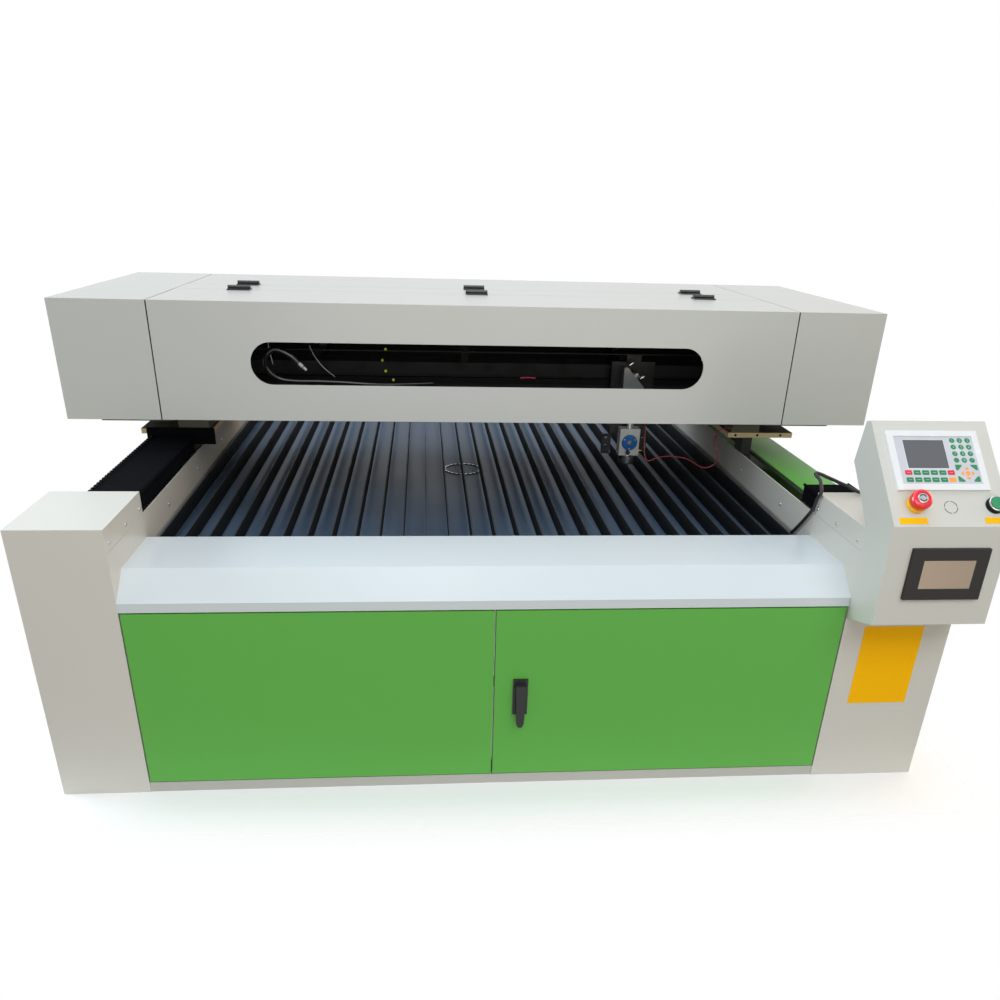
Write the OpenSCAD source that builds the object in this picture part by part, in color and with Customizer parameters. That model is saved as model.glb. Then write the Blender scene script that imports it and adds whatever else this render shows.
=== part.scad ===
/* [Base] */
// Length of the base, front to back
base_l = 3850; // [3200:10:4650]
// Clear width between the two pedestals
bed_w = 1500; // [1300:10:1800]
// Height of the pedestals above the floor
ped_h = 610; // [560:1:680]
// Depth of the pedestals, front to back
ped_d = 238; // [210:1:300]
// Width of the left pedestal
ped_left_w = 184; // [170:1:260]
// Width of the right pedestal, which carries the console
ped_right_w = 240; // [220:1:320]
// Thickness of the cabinet sheet
sheet = 3; // [2:0.5:4]
// Side of the square tubes of the welded frame
tube = 60; // [50:5:70]

/* [Front] */
// Height of the front shelf above the floor
shelf_h = 507; // [480:1:520]
// Depth of the shelf's sloping front edge
shelf_slope_d = 61; // [40:1:80]
// Fall of the shelf's sloping front edge
shelf_slope_h = 51; // [30:1:60]
// Height of the upright lip below the slope
shelf_lip = 20; // [14:1:30]
// Height of the sill below the doors
sill_h = 24; // [18:1:40]
// Gap round the doors
door_gap = 3; // [2:0.5:5]
// Depth of the folded door edges
door_depth = 20; // [16:1:30]
// Radius of the door hinge pins
door_pin_r = 2.5; // [2:0.1:3]

/* [Bed] */
// Height of the bed's side walls above the floor
wall_h = 560; // [550:1:580]
// Height of the tops of the cutting strips
strip_top = 488; // [470:1:495]
// Height of one cutting strip
strip_h = 40; // [30:1:45]
// Thickness of one cutting strip
strip_t = 3; // [2:0.5:5]
// Distance from strip to strip
strip_pitch = 54.4; // [40:0.1:70]
// Distance of the first strip from the bed's left wall
strip_first = 11; // [8:1:60]
// Height of the waste tray above the floor
tray_h = 430; // [420:1:440]
// Radius of the perforated suction outlet in the tray
vent_r = 44; // [30:1:55]

/* [Gantry] */
// Distance of the gantry's front cover behind the base's front
gantry_y = 588; // [560:1:700]
// Depth of the gantry covers
gantry_d = 733; // [700:1:800]
// Reach of the cover section past the bed on each side
cover_over = 34; // [20:1:60]
// Reach of each end cap past the cover section
cap_reach = 224; // [200:1:260]
// Height of the gantry covers' lower edge above the floor
gantry_low = 681; // [676:1:820]
// Height of the gantry covers
gantry_h = 278; // [270:1:300]
// Thickness of the cover sheet
skin = 2.5; // [2:0.5:3]
// Length of the window in the front cover
window_w = 1116; // [900:2:1300]
// Height of the window in the front cover
window_h = 100; // [80:2:120]
// Height of the window's centre above the covers' underside
window_up = 137.5; // [120:0.5:155]
// Distance of the front hinge seam behind the front cover
seam_front = 272; // [240:1:280]
// Distance of the rear hinge seam behind the front cover
seam_rear = 407; // [390:1:420]
// Travel of the gantry from rest towards the rear
travel_back = 2260; // [1500:10:2260]

/* [Laser head] */
// Sideways place of the head at rest
head_x = 434; // [-600:1:600]
// Distance of the head's centre behind the front cover
head_back = 211; // [205:1:215]
// Radius of the lens tube
lens_tube_r = 12; // [10:0.5:13]

/* [Console] */
// Reach of the console in front of the pedestal
console_reach = 100; // [80:1:140]
// Height of the console above the pedestal
console_rise = 202; // [190:1:220]
// Width of the controller's frame
controller_w = 189; // [155:1:195]
// Height of the controller's frame along the slope
controller_h = 134; // [120:1:140]
// Width of the touch panel
panel_w = 158; // [140:1:170]
// Height of the touch panel
panel_h = 107; // [90:1:115]

/* [Hidden] */
$fn = 48;

cream = "#cfccc2";
green = "#5fa046";
near_black = "#1c2024";
steel = "#a9adb1";

// Gaps that several pieces share.
touch = 0.3;
run_gap = 0.05;
weld = 0.1;

// The base's own lines, measured from the middle of its length.
front = -base_l / 2;
bed_x = bed_w / 2;
left_x = -bed_x - ped_left_w;
right_x = bed_x + ped_right_w;
lip_top = shelf_h - shelf_slope_h;
lip_low = lip_top - shelf_lip;
rear_d = 150;
rear_y = base_l - rear_d;
bed_back = rear_y - tube;

// Channels beside the bed, which hold the rails and the belts.
body_x = bed_x + 155;
channel_x = bed_x + 50;
flange_z = wall_h - 2;
beam_w = 30;
beam_x = bed_x + sheet + touch;
beam_z = wall_h - 120;
beam_h = 80;
beam_top = beam_z + beam_h;
rail_w = 15;
rail_h = 15;
rail_x = bed_x + 21;
rail_y0 = ped_d + 20;
rail_y1 = rear_y - 80;
carriage_w = 34;
carriage_l = 62;
carriage_h = 24;
carriage_z = beam_top + 4;
carriage_top = carriage_z + carriage_h;
belt_w = 9;
belt_x = bed_x + 44.5;
belt_t = 2;
pulley_r = 16;
axle_z = beam_top + 15;
idler_y = ped_d + 62;
shaft_y = rear_y + 50;
shaft_r = 8;
block_w = 22;

// Bellows over the channels.
bellows_w = 118;
bellows_z0 = wall_h + 2;
bellows_z1 = ped_h - 2;
folded = 94;
pleat = 9;

// The gantry's frame.
gantry_top = gantry_low + gantry_h;
seam_gap = 2;
inner_x = bed_x + cover_over;
gantry_x = inner_x + cap_reach;
beam_y = gantry_y + 262;
gbeam_d = 90;
gbeam_h = 90;
gbeam_z = gantry_low + 12;
gbeam_top = gbeam_z + gbeam_h;
foot_z = ped_h - 4;
foot_t = 14;
foot_x0 = bed_x - 45;
foot_x1 = bed_x + 140;
foot_y0 = gantry_y + 162;
foot_y1 = gantry_y + gantry_d - 30;
wheelbase_y = [foot_y0 + 50, foot_y1 - 50];
plate_t = 12;
plate_x = inner_x + 8;
hinge_x = [for (side = [-1 : 1]) side * (inner_x - 164)];
hinge_w = 58;
hinge_l = 40;
hinge_t = 3;
hinge_pin_r = 2.5;
hinge_axis_z = gantry_top + 6;

// The cross axis and the head.
xrail_z = gbeam_z + 45;
head_y = gantry_y + head_back;
xpulley_z = gbeam_top + 48;
xpulley_r = 14;
xpulley_x = inner_x - 60;
xbelt_y0 = beam_y - 30;
xbelt_w = 12;
tube_r = 40;
tube_l = 1400;
tube_y = gantry_y + 560;
tube_z = gantry_low + 175;

// Console outline in depth and height, from its lower back corner round the front.
console_low = lip_top - 48;
fold_z = ped_h + 39;
slope_top = ped_h + console_rise;
slope_d = 172;
console_top_d = 191;
low_rise = 33;
face_lean = 3;
console_side = [
    [0, console_low], [-console_reach, console_low + low_rise], [-console_reach + face_lean, fold_z],
    [-console_reach + face_lean + slope_d, slope_top], [-console_reach + console_top_d, slope_top - 5],
    [108, ped_h + 110], [0, ped_h]
];
slope_angle = atan2(slope_top - fold_z, slope_d);
face_angle = atan2(fold_z - console_low - low_rise, face_lean);
console_skin = 2;

// Places on the console's two faces.
panel_up = 58;
panel_left = 47;
controller_left = 21;
controller_up = 77;
estop_at = [52, 47];
start_at = [212, 45];

// Cable from the console's back over the pedestal's corner into the bed.
cable_r = 4;
cable_points = [
    [880, 86, 697.3], [880, 97, 686], [879, 110, 674], [877, 124, 660], [874, 138, 645],
    [870, 155, 631], [864, 175, 621], [856, 197, 616], [846, 216, 615], [835, 229, 616],
    [824, 240, 620], [813, 246, 625], [802, 249, 629], [790, 251, 634], [778, 251, 639],
    [766, 250, 644], [757, 249, 648], [748, 248, 651], [742, 247, 653], [738, 245, 652],
    [739, 241, 648.5], [743, 235, 644.5], [745, 228.5, 640], [744.5, 222, 634], [744.5, 216, 627],
    [744, 211.6, 619], [743, 214.5, 609.5], [742, 221, 600.5], [742, 223.5, 591], [742, 227, 581],
    [742, 234, 570], [742, 243, 559], [742, 255, 546], [742, 268, 532], [742, 282, 518],
    [742, 296, 504.5], [742, 310, 491.5], [742, 323, 478.5], [742, 333, 465], [742, 338, 450],
    [742, 338, 438], [742, 338, 430.3]
];

// Thin wire of the pointer diode, from the head's plate to the gantry's right foot.
wire_r = 1.5;
wire_points = [
    [480, 816.7, 630], [480, 807, 628], [479, 797, 618], [478, 789, 600], [478, 783, 578],
    [479, 779, 556], [483, 776, 539], [492, 774, 531], [504, 772, 536], [520, 770, 543],
    [545, 769, 546], [572, 768, 545], [596, 766, 541], [618, 764, 531], [638, 762, 520],
    [656, 760, 516], [672, 758, 521], [684, 756, 532], [688, 755, 547], [684, 753, 562],
    [676, 752, 578], [670, 750, 595], [669, 747, 611], [672, 744, 623], [681, 741, 631],
    [693, 739, 635], [705, 739, 636], [714, 742, 636], [719, 749.3, 636]
];

// Moves what is drawn from the base's front face to the row's origin.
module at_front() {
    translate([0, front, 0]) children();
}

// A block from its low corner to its high corner.
module block(low, high) {
    translate(low) cube(high - low);
}

// Repeats what is drawn for x above zero on the other side.
module both_sides() {
    children();
    mirror([1, 0, 0]) children();
}

// An outline in depth and height, drawn along x from x0 to x1.
module along_x(x0, x1, outline) {
    translate([x0, 0, 0]) rotate([90, 0, 90]) linear_extrude(x1 - x0) polygon(outline);
}

// A round bar along x.
module bar_x(x0, x1, r, y, z) {
    translate([x0, y, z]) rotate([0, 90, 0]) cylinder(h = x1 - x0, r = r);
}

// A round bar along y.
module bar_y(y0, y1, r, x, z) {
    translate([x, y0, z]) rotate([-90, 0, 0]) cylinder(h = y1 - y0, r = r);
}

// Where two lines, each given by a point and a direction, cross.
function cross2(a, b) = a[0] * b[1] - a[1] * b[0];
function meet(p, u, q, v) = p + u * (cross2(q - p, v) / cross2(u, v));

// A closed outline moved inwards by w; outlines run clockwise when w is positive.
function edge(path, i) = path[(i + 1) % len(path)] - path[i];
function unit(v) = v / norm(v);
function shift(path, i, w) = path[i] + w * [unit(edge(path, i))[1], -unit(edge(path, i))[0]];
function inset(path, w) = [
    for (i = [0 : len(path) - 1])
        let (before = (i + len(path) - 1) % len(path))
            meet(shift(path, before, w), edge(path, before), shift(path, i, w), edge(path, i))
];

// A folded sheet of thickness w whose outer side follows the points.
module folded_sheet(x0, x1, path, w) {
    closed = inset(path, w);
    last = len(path) - 1;
    inner = [for (i = [last - 1 : -1 : 1]) closed[i]];
    start = shift(path, 0, w);
    end = shift(path, last - 1, w) + edge(path, last - 1);
    along_x(x0, x1, concat(path, [end], inner, [start]));
}

// A tube that follows points; n sides, one ring at each point.
function ring_dir(p, i) = unit(p[min(i + 1, len(p) - 1)] - p[max(i - 1, 0)]);
function side_of(d) = unit(cross(d, abs(d[2]) > 0.8 ? [0, 1, 0] : [0, 0, 1]));
module swept(points, r, n) {
    rings = [
        for (i = [0 : len(points) - 1])
            let (d = ring_dir(points, i), a = side_of(d), b = cross(a, d))
                for (k = [0 : n - 1])
                    points[i] + r * (cos(360 * k / n) * a + sin(360 * k / n) * b)
    ];
    count = len(points);
    sides = [
        for (i = [0 : count - 2]) for (k = [0 : n - 1])
            [i * n + k, i * n + (k + 1) % n, (i + 1) * n + (k + 1) % n, (i + 1) * n + k]
    ];
    start = [for (k = [n - 1 : -1 : 0]) k];
    end = [for (k = [0 : n - 1]) (count - 1) * n + k];
    polyhedron(rings, concat(sides, [start, end]));
}

// ---- Base ----

// Lines of the welded frame.
low_x = body_x - sheet - tube;
frame_y = [20, base_l / 4, base_l / 2 - tube / 2, base_l * 3 / 4, base_l - 20 - tube];
tray_under = tray_h - sheet;

module base_frame() {
    post_x = low_x + tube;
    color(cream) at_front() {
        // Long tubes on the floor, and the sill under the doors.
        both_sides() block([low_x, sheet, 0], [post_x, base_l - sheet, tube]);
        block([-bed_x, 2, 0], [bed_x, tube, sill_h]);
        // Cross tubes on the floor and under the tray, a weld gap short of what they meet.
        for (i = [1 : 4]) cross_tube(frame_y[i], 0);
        for (i = [1 : 3]) cross_tube(frame_y[i], tray_under - tube);
        // Uprights with the arms that carry the rail beams.
        both_sides() for (y = frame_y) {
            block([low_x, y, tube + weld], [post_x, y + tube, beam_z]);
            block([beam_x, y, beam_z - 40], [low_x - weld, y + tube, beam_z]);
        }
        // Rail beams.
        both_sides() block([beam_x, sheet + touch, beam_z + weld], [beam_x + beam_w, rear_y - 20, beam_top]);
    }
}

module cross_tube(y, z) {
    block([-low_x + weld, y, z], [low_x - weld, y + tube, z + tube]);
}

// A pedestal's cover between x0 and x1, open below and low at the back.
module pedestal_cover(x0, x1) {
    difference() {
        block([x0, 0, 0], [x1, ped_d, ped_h]);
        block([x0 + sheet, sheet, -1], [x1 - sheet, ped_d - sheet, ped_h - sheet]);
        block([x0 + sheet, ped_d / 2, -1], [x1 - sheet, ped_d + 1, wall_h]);
    }
}

// The line between the lapped top and the pedestal's inner side, and its screw holes.
lap_z = wall_h + 1;
lap_deep = 0.8;
screw_r = 2;
lap_screws = [24, ped_d / 2 + 5, ped_d - 16];
lap_screw_z = ped_h - 34;

module lap_cuts(x) {
    block([x - lap_deep, -1, lap_z - 1], [x + lap_deep, ped_d + 1, lap_z]);
    for (y = lap_screws) bar_x(x - 8, x + 8, screw_r + run_gap, y, lap_screw_z);
}

module pedestal_left() {
    color(cream) at_front() difference() {
        pedestal_cover(left_x, -bed_x);
        lap_cuts(-bed_x);
    }
}

module pedestal_right() {
    color(cream) at_front() difference() {
        pedestal_cover(bed_x, right_x);
        lap_cuts(bed_x);
    }
}

module front_shelf() {
    shelf_path = [
        [16, lip_low], [0, lip_low], [0, lip_top], [shelf_slope_d, shelf_h],
        [ped_d, shelf_h], [ped_d, tray_h]
    ];
    pin_x = bed_x - door_gap - door_edge;
    color(cream) at_front() difference() {
        folded_sheet(-bed_x, bed_x, shelf_path, sheet);
        both_sides() translate([pin_x, door_edge, lip_low - 1]) cylinder(h = sheet + 2, r = door_pin_r);
    }
}

module side_panels() {
    color(green) at_front() both_sides() {
        block([body_x - sheet, ped_d + touch, 20], [body_x, rear_y - touch, flange_z]);
        block([channel_x, ped_d + touch, flange_z - sheet], [body_x, rear_y - touch, flange_z]);
    }
}

module rear_housing() {
    half = -left_x;
    color(cream) at_front() difference() {
        block([-half, rear_y, 0], [half, base_l, ped_h]);
        // Hollow inside, open below.
        block([-half + sheet, rear_y + sheet, -1], [half - sheet, base_l - sheet, ped_h - sheet]);
        // Open towards the cabinet below the bed and towards both channels.
        block([-half + sheet, rear_y - 1, -1], [half - sheet, rear_y + sheet + 1, tray_under]);
        both_sides() block([beam_x, rear_y - 1, beam_z - 50], [half - sheet, rear_y + sheet + 1, wall_h]);
    }
}

module bed_walls() {
    color(cream) at_front() {
        both_sides() difference() {
            block([bed_x, ped_d + touch, tray_under], [bed_x + sheet, bed_back, wall_h]);
            for (y = wall_screws) bar_x(bed_x - 8, bed_x + 8, screw_r + run_gap, y, wall_screw_z);
        }
        block([-bed_x - sheet, bed_back + touch, tray_under], [bed_x + sheet, bed_back + sheet, wall_h]);
    }
}

wall_screw_z = wall_h - 42;
wall_screws = [for (y = [ped_d + 190 : 300 : bed_back - 100]) y];

module pan_screw() {
    cylinder(h = 7, r = screw_r);
    translate([0, 0, -2.4]) intersection() {
        cylinder(h = 2.4, r = 4.2);
        translate([0, 0, 4.6]) sphere(r = 5.2);
    }
}

module panel_screws() {
    color(steel) at_front() both_sides() {
        for (y = lap_screws) translate([bed_x, y, lap_screw_z]) rotate([0, 90, 0]) pan_screw();
        for (y = wall_screws) translate([bed_x, y, wall_screw_z]) rotate([0, 90, 0]) wall_screw();
    }
}

// Wall screws end short of the rail beam.
module wall_screw() {
    intersection() {
        pan_screw();
        translate([0, 0, -5]) cylinder(h = 5 + sheet, r = 6);
    }
}

vent_x = -25;
vent_y = 1030;
vent_hole_r = 2.4;
vent_rings = floor(vent_r / 9);

module waste_tray() {
    color(near_black) at_front() difference() {
        block([-bed_x, ped_d + touch, tray_under], [bed_x, bed_back, tray_h]);
        for (ring = [1 : vent_rings]) for (k = [1 : 6 * ring])
            translate([vent_x, vent_y, tray_under - 1]) rotate(60 * k / ring)
                translate([ring * vent_r / vent_rings, 0, 0]) cylinder(h = sheet + 2, r = vent_hole_r, $fn = 16);
    }
}

// Cutting strips stand in the notches of three cross combs: front, middle and rear.
last_strip_gap = 5;
strips = floor((bed_w - strip_first - last_strip_gap) / strip_pitch) + 1;
strip_low = strip_top - strip_h;
comb_t = 4;
comb_top = strip_top - 16;
comb_inset = 60;
comb_y = [for (i = [0 : 2]) ped_d + comb_inset + i * (bed_back - ped_d - 2 * comb_inset) / 2];
function strip_x(i) = -bed_x + strip_first + i * strip_pitch;

module strip_supports() {
    slot = strip_t / 2 + touch;
    comb = concat(
        [[-bed_x + touch, tray_h], [-bed_x + touch, comb_top]],
        [for (i = [0 : strips - 1]) each [
            [strip_x(i) - slot, comb_top], [strip_x(i) - slot, strip_low],
            [strip_x(i) + slot, strip_low], [strip_x(i) + slot, comb_top]
        ]],
        [[bed_x - touch, comb_top], [bed_x - touch, tray_h]]
    );
    color(near_black) at_front() for (y = comb_y)
        translate([0, y, 0]) rotate([90, 0, 0]) linear_extrude(comb_t) polygon(comb);
}

module cutting_strips() {
    color(near_black) at_front() for (i = [0 : strips - 1])
        block([strip_x(i) - strip_t / 2, ped_d + 6, strip_low], [strip_x(i) + strip_t / 2, bed_back - 6, strip_top]);
}

// ---- Rails and the drive along the base ----

module linear_rails() {
    half = rail_w / 2;
    waist = half - 2;
    side = [[half, 0], [half, 4], [waist, 6], [waist, 10], [half, 12], [half, rail_h]];
    outline = concat(side, [for (i = [5 : -1 : 0]) [-side[i][0], side[i][1]]]);
    color(steel) at_front() both_sides() translate([rail_x, rail_y1, beam_top])
        rotate([90, 0, 0]) linear_extrude(rail_y1 - rail_y0) polygon(outline);
}

// A loop of belt round two pulleys of radius r, drawn flat and w wide.
module belt_loop(span, r, w) {
    linear_extrude(w) difference() {
        union() {
            circle(r + belt_t);
            translate([span, 0]) circle(r + belt_t);
            translate([0, -r - belt_t]) square([span, 2 * (r + belt_t)]);
        }
        circle(r);
        translate([span, 0]) circle(r);
        translate([0, -r]) square([span, 2 * r]);
    }
}

module drive_belts() {
    color(near_black) at_front() both_sides()
        translate([belt_x - belt_w / 2, idler_y, axle_z]) rotate([90, 0, 90])
            belt_loop(shaft_y - idler_y, pulley_r + touch, belt_w);
}

motor_w = 60;
motor_x = belt_x + belt_w / 2 + 14;
motor_l = 80;

module bearing_blocks() {
    block_x = beam_x + 2;
    color(steel) at_front() {
        // Seats of the drive shaft, on the frame's rear arms.
        both_sides() difference() {
            block([block_x, shaft_y - 18, beam_z], [block_x + block_w, shaft_y + 18, axle_z + 20]);
            bar_x(block_x - 1, block_x + block_w + 1, shaft_r + run_gap, shaft_y, axle_z);
        }
        // Studs of the front idlers, on the rail beams.
        both_sides() {
            block([beam_x + beam_w, idler_y - 12, axle_z - 30], [belt_x - belt_w / 2 - touch, idler_y + 12, axle_z + 12]);
            bar_x(belt_x - belt_w / 2 - 1, belt_x + belt_w / 2 + 0.5, 4, idler_y, axle_z);
        }
        // Plate that holds the motor.
        difference() {
            block([motor_x - 6, shaft_y - motor_w / 2, beam_z], [motor_x, shaft_y + motor_w / 2, axle_z + motor_w / 2]);
            bar_x(motor_x - 7, motor_x + 1, shaft_r + 4, shaft_y, axle_z);
        }
    }
}

module drive_motor() {
    half = motor_w / 2;
    corner = 8;
    outline = [
        [-half, -half + corner], [-half, half - corner], [-half + corner, half], [half - corner, half],
        [half, half - corner], [half, -half + corner], [half - corner, -half], [-half + corner, -half]
    ];
    color(near_black) at_front() difference() {
        translate([motor_x, shaft_y, axle_z]) rotate([90, 0, 90]) linear_extrude(motor_l) polygon(outline);
        bar_x(motor_x - 1, motor_x + 30, shaft_r + run_gap, shaft_y, axle_z);
    }
}

module drive_shaft() {
    end_x = motor_x + 24;
    color(steel) at_front() {
        bar_x(-belt_x - belt_w / 2 - 1, end_x, shaft_r, shaft_y, axle_z);
        both_sides() bar_x(belt_x - belt_w / 2, belt_x + belt_w / 2, pulley_r, shaft_y, axle_z);
    }
}

module front_idlers() {
    color(steel) at_front() both_sides() difference() {
        bar_x(belt_x - belt_w / 2, belt_x + belt_w / 2, pulley_r, idler_y, axle_z);
        bar_x(belt_x - belt_w, belt_x + belt_w, 4 + run_gap, idler_y, axle_z);
    }
}

// ---- Doors ----

door_edge = 6;
door_low = sill_h + door_gap;
door_top = lip_low - door_gap;
door_outer = bed_x - door_gap;
door_x = door_outer - door_edge;

module door_hinge_pins() {
    color(steel) at_front() both_sides() {
        translate([door_x, door_edge, sill_h]) cylinder(h = 14, r = door_pin_r);
        translate([door_x, door_edge, lip_low - 12]) cylinder(h = 12 + sheet, r = door_pin_r);
    }
}

// A folded door pan with its hinge holes, drawn on the right.
module door_pan() {
    difference() {
        block([door_gap / 2, 0, door_low], [door_outer, door_depth, door_top]);
        block([door_gap / 2 + sheet, sheet, door_low + sheet], [door_outer - sheet, door_depth + 1, door_top - sheet]);
        for (z = [door_low - 1, door_top - sheet - 1])
            translate([door_x, door_edge, z]) cylinder(h = sheet + 2, r = door_pin_r + run_gap);
    }
}

module door_left() {
    color(green) at_front() mirror([1, 0, 0]) door_pan();
}

handle_x = 57;
handle_z = 252;
handle_shaft_r = 6;

module door_right() {
    color(green) at_front() difference() {
        door_pan();
        bar_y(-1, sheet + 1, handle_shaft_r + 2, handle_x, handle_z);
    }
}

module handle_base() {
    color(near_black) at_front() difference() {
        union() {
            block([handle_x - 16, -6, handle_z - 66], [handle_x + 16, 0, handle_z + 20]);
            bar_y(-12, 0, 14, handle_x, handle_z);
        }
        bar_y(-13, 1, handle_shaft_r + run_gap, handle_x, handle_z);
    }
}

module handle_lever() {
    grip = [
        [handle_x - 11, handle_z + 12], [handle_x + 11, handle_z + 12],
        [handle_x + 8, handle_z - 82], [handle_x + 4, handle_z - 90],
        [handle_x - 4, handle_z - 90], [handle_x - 8, handle_z - 82]
    ];
    color(near_black) at_front() {
        translate([0, -12 - touch, 0]) rotate([90, 0, 0]) linear_extrude(10) polygon(grip);
        bar_y(-13, door_depth + 6, handle_shaft_r, handle_x, handle_z);
    }
}

module handle_cam() {
    cam_y = door_depth + 2;
    color(steel) at_front() difference() {
        block([-12, cam_y, handle_z - 11], [handle_x + 11, cam_y + 4, handle_z + 11]);
        bar_y(cam_y - 1, cam_y + 5, handle_shaft_r, handle_x, handle_z);
    }
}

// ---- Console ----

module on_slope(x, up) {
    translate([bed_x + x, -console_reach + face_lean, fold_z]) rotate([slope_angle, 0, 0])
        translate([0, up, 0]) children();
}

module on_face(x, up) {
    translate([bed_x + x, -console_reach, console_low + low_rise]) rotate([face_angle, 0, 0])
        translate([0, up, 0]) children();
}

knockout_at = [123, 42];
estop_hole_r = 11;
start_hole_r = 10;

module console_housing() {
    side = [for (i = [len(console_side) - 1 : -1 : 0]) console_side[i]];
    hollow = inset(side, -console_skin);
    color(cream) at_front() difference() {
        along_x(bed_x, right_x, console_side);
        along_x(bed_x + console_skin, right_x - console_skin, hollow);
        on_slope(estop_at[0], estop_at[1]) cylinder(h = 20, r = estop_hole_r, center = true);
        on_slope(start_at[0], start_at[1]) cylinder(h = 20, r = start_hole_r, center = true);
        on_slope(knockout_at[0], knockout_at[1]) difference() {
            translate([0, 0, -0.6]) cylinder(h = 2, r = 13.5);
            translate([0, 0, -1]) cylinder(h = 3, r = 12.7);
        }
    }
}

rim = 13;
frame_rise = 6;
lcd_w = controller_w - 105;
lcd_h = 64;
lcd_x = 32;
lcd_up = 49;
glass_t = 1.5;

module controller_frame() {
    color("#e4e6e8") at_front() on_slope(controller_left, controller_up) difference() {
        cube([controller_w, controller_h, frame_rise]);
        translate([rim, rim, frame_rise - 2])
            cube([controller_w - 2 * rim, controller_h - 2 * rim, 3]);
        translate([lcd_x, lcd_up, frame_rise - 2 - glass_t]) cube([lcd_w, lcd_h, 4]);
    }
}

panel_rise = 8;
panel_rim_x = 26;
panel_rim_z = 24;

module touch_panel_frame() {
    color(near_black) at_front() on_face(panel_left, panel_up) difference() {
        cube([panel_w, panel_h, panel_rise]);
        translate([panel_rim_x, panel_rim_z, panel_rise - glass_t])
            cube([panel_w - 2 * panel_rim_x, panel_h - 2 * panel_rim_z, 3]);
    }
}

module display_glass() {
    color("#4a4c52") at_front() {
        on_slope(controller_left + lcd_x, controller_up + lcd_up)
            translate([0, 0, frame_rise - 2 - glass_t]) cube([lcd_w, lcd_h, glass_t]);
        on_face(panel_left + panel_rim_x, panel_up + panel_rim_z)
            translate([0, 0, panel_rise - glass_t])
                cube([panel_w - 2 * panel_rim_x, panel_h - 2 * panel_rim_z, glass_t]);
    }
}

// Keys stand on the controller's membrane: numbers and arrows from its right edge, rows from its left.
key_rise = 0.8;
number_r = 5.6;
number_pitch = [16.1, 15];
number_at = [controller_left + controller_w - 54.5, controller_up + controller_h - 67];
row_pitch = [(controller_w - 101.5) / 5, 16];
row_at = [controller_left + 29.5, controller_up + 23];
row_key = [row_pitch[0] * 0.8, 10];
arrows_at = [controller_left + controller_w - 37.7, controller_up + 37.8];
corner_at = [15.5, 13];

module key_at(x, up) {
    on_slope(x, up) translate([0, 0, frame_rise - 2]) children();
}

module controller_keys() {
    color("#2f8f5f") at_front() {
        for (i = [0 : 2]) for (k = [0 : 3])
            key_at(number_at[0] + number_pitch[0] * i, number_at[1] + number_pitch[1] * k)
                cylinder(h = key_rise, r = number_r);
        for (i = [0 : 5]) for (k = [0 : 1])
            key_at(row_at[0] + row_pitch[0] * i, row_at[1] + row_pitch[1] * k)
                block([-row_key[0] / 2, -row_key[1] / 2, 0], [row_key[0] / 2, row_key[1] / 2, key_rise]);
        for (sx = [-1, 1]) for (sy = [-1, 1])
            key_at(arrows_at[0] + corner_at[0] * sx, arrows_at[1] + corner_at[1] * sy)
                linear_extrude(key_rise) polygon([
                    [6 * sx, 5 * sy], [6 * sx, -5 * sy], [2 * sx, -5 * sy], [-5 * sx, 2 * sy], [-5 * sx, 5 * sy]
                ]);
        for (a = [0, 90, 180, 270])
            key_at(arrows_at[0], arrows_at[1]) rotate(a)
                linear_extrude(key_rise) polygon([[14.5, 0], [8.6, 5], [8.6, -5]]);
        key_at(arrows_at[0], arrows_at[1]) cylinder(h = key_rise, r = 5.2);
    }
}

label_t = 0.5;

module blank_labels() {
    color("#f2b61c") at_front() {
        block([bed_x + 47.5, -label_t, 195], [bed_x + 181, 0, 387]);
        on_slope(estop_at[0] - 39, estop_at[1] - 41) cube([56, 13, label_t]);
        on_slope(start_at[0] - 26, start_at[1] - 38) cube([50, 13, label_t]);
    }
}

estop_travel = 4;

module estop_base() {
    color("#f0c020") at_front() on_slope(estop_at[0], estop_at[1]) difference() {
        union() {
            cylinder(h = 11, r = 19);
            translate([0, 0, -8]) cylinder(h = 9, r = estop_hole_r - run_gap);
        }
        translate([0, 0, -9]) cylinder(h = 21, r = 8 + run_gap);
    }
}

module estop_head() {
    color("#c8202c") at_front() on_slope(estop_at[0], estop_at[1]) {
        translate([0, 0, -3]) cylinder(h = 20, r = 8);
        translate([0, 0, 11 + estop_travel + 1]) rotate_extrude()
            polygon([[0, 0], [19, 0], [20.5, 2], [20.5, 9], [19, 12], [16, 13.5], [12, 14], [11, 12.5], [0, 12.5]]);
    }
}

start_travel = 3;

module button_collar() {
    color(steel) at_front() on_slope(start_at[0], start_at[1]) difference() {
        union() {
            cylinder(h = 3, r = 17.5);
            cylinder(h = 10, r = 16);
            translate([0, 0, -8]) cylinder(h = 9, r = start_hole_r - run_gap);
        }
        translate([0, 0, 5]) cylinder(h = 6, r = 13 + run_gap);
        translate([0, 0, -9]) cylinder(h = 16, r = 6 + run_gap);
    }
}

module start_button() {
    color("#1f8a55") at_front() on_slope(start_at[0], start_at[1]) {
        translate([0, 0, 5 + start_travel + 0.5]) cylinder(h = 5, r = 13);
        translate([0, 0, -4]) cylinder(h = 14, r = 6);
    }
}

// ---- Bellows ----

// A pleated cover over a channel on the right, between two places along the base.
module pleated(y0, y1, folds) {
    step = (y1 - y0) / folds;
    deep = min(5, step / 2);
    zigzag = [
        for (i = [0 : folds - 1]) each [
            [y0 + i * step, bellows_z1 - deep], [y0 + (i + 0.5) * step, bellows_z1]
        ]
    ];
    outline = concat([[y0, bellows_z0]], zigzag, [[y1, bellows_z1 - deep], [y1, bellows_z0]]);
    along_x(bed_x + 2, bed_x + bellows_w, outline);
}

module bellows_front_left() {
    color(near_black) at_front() mirror([1, 0, 0]) pleated(ped_d + touch, foot_y0 - touch, 28);
}

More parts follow.
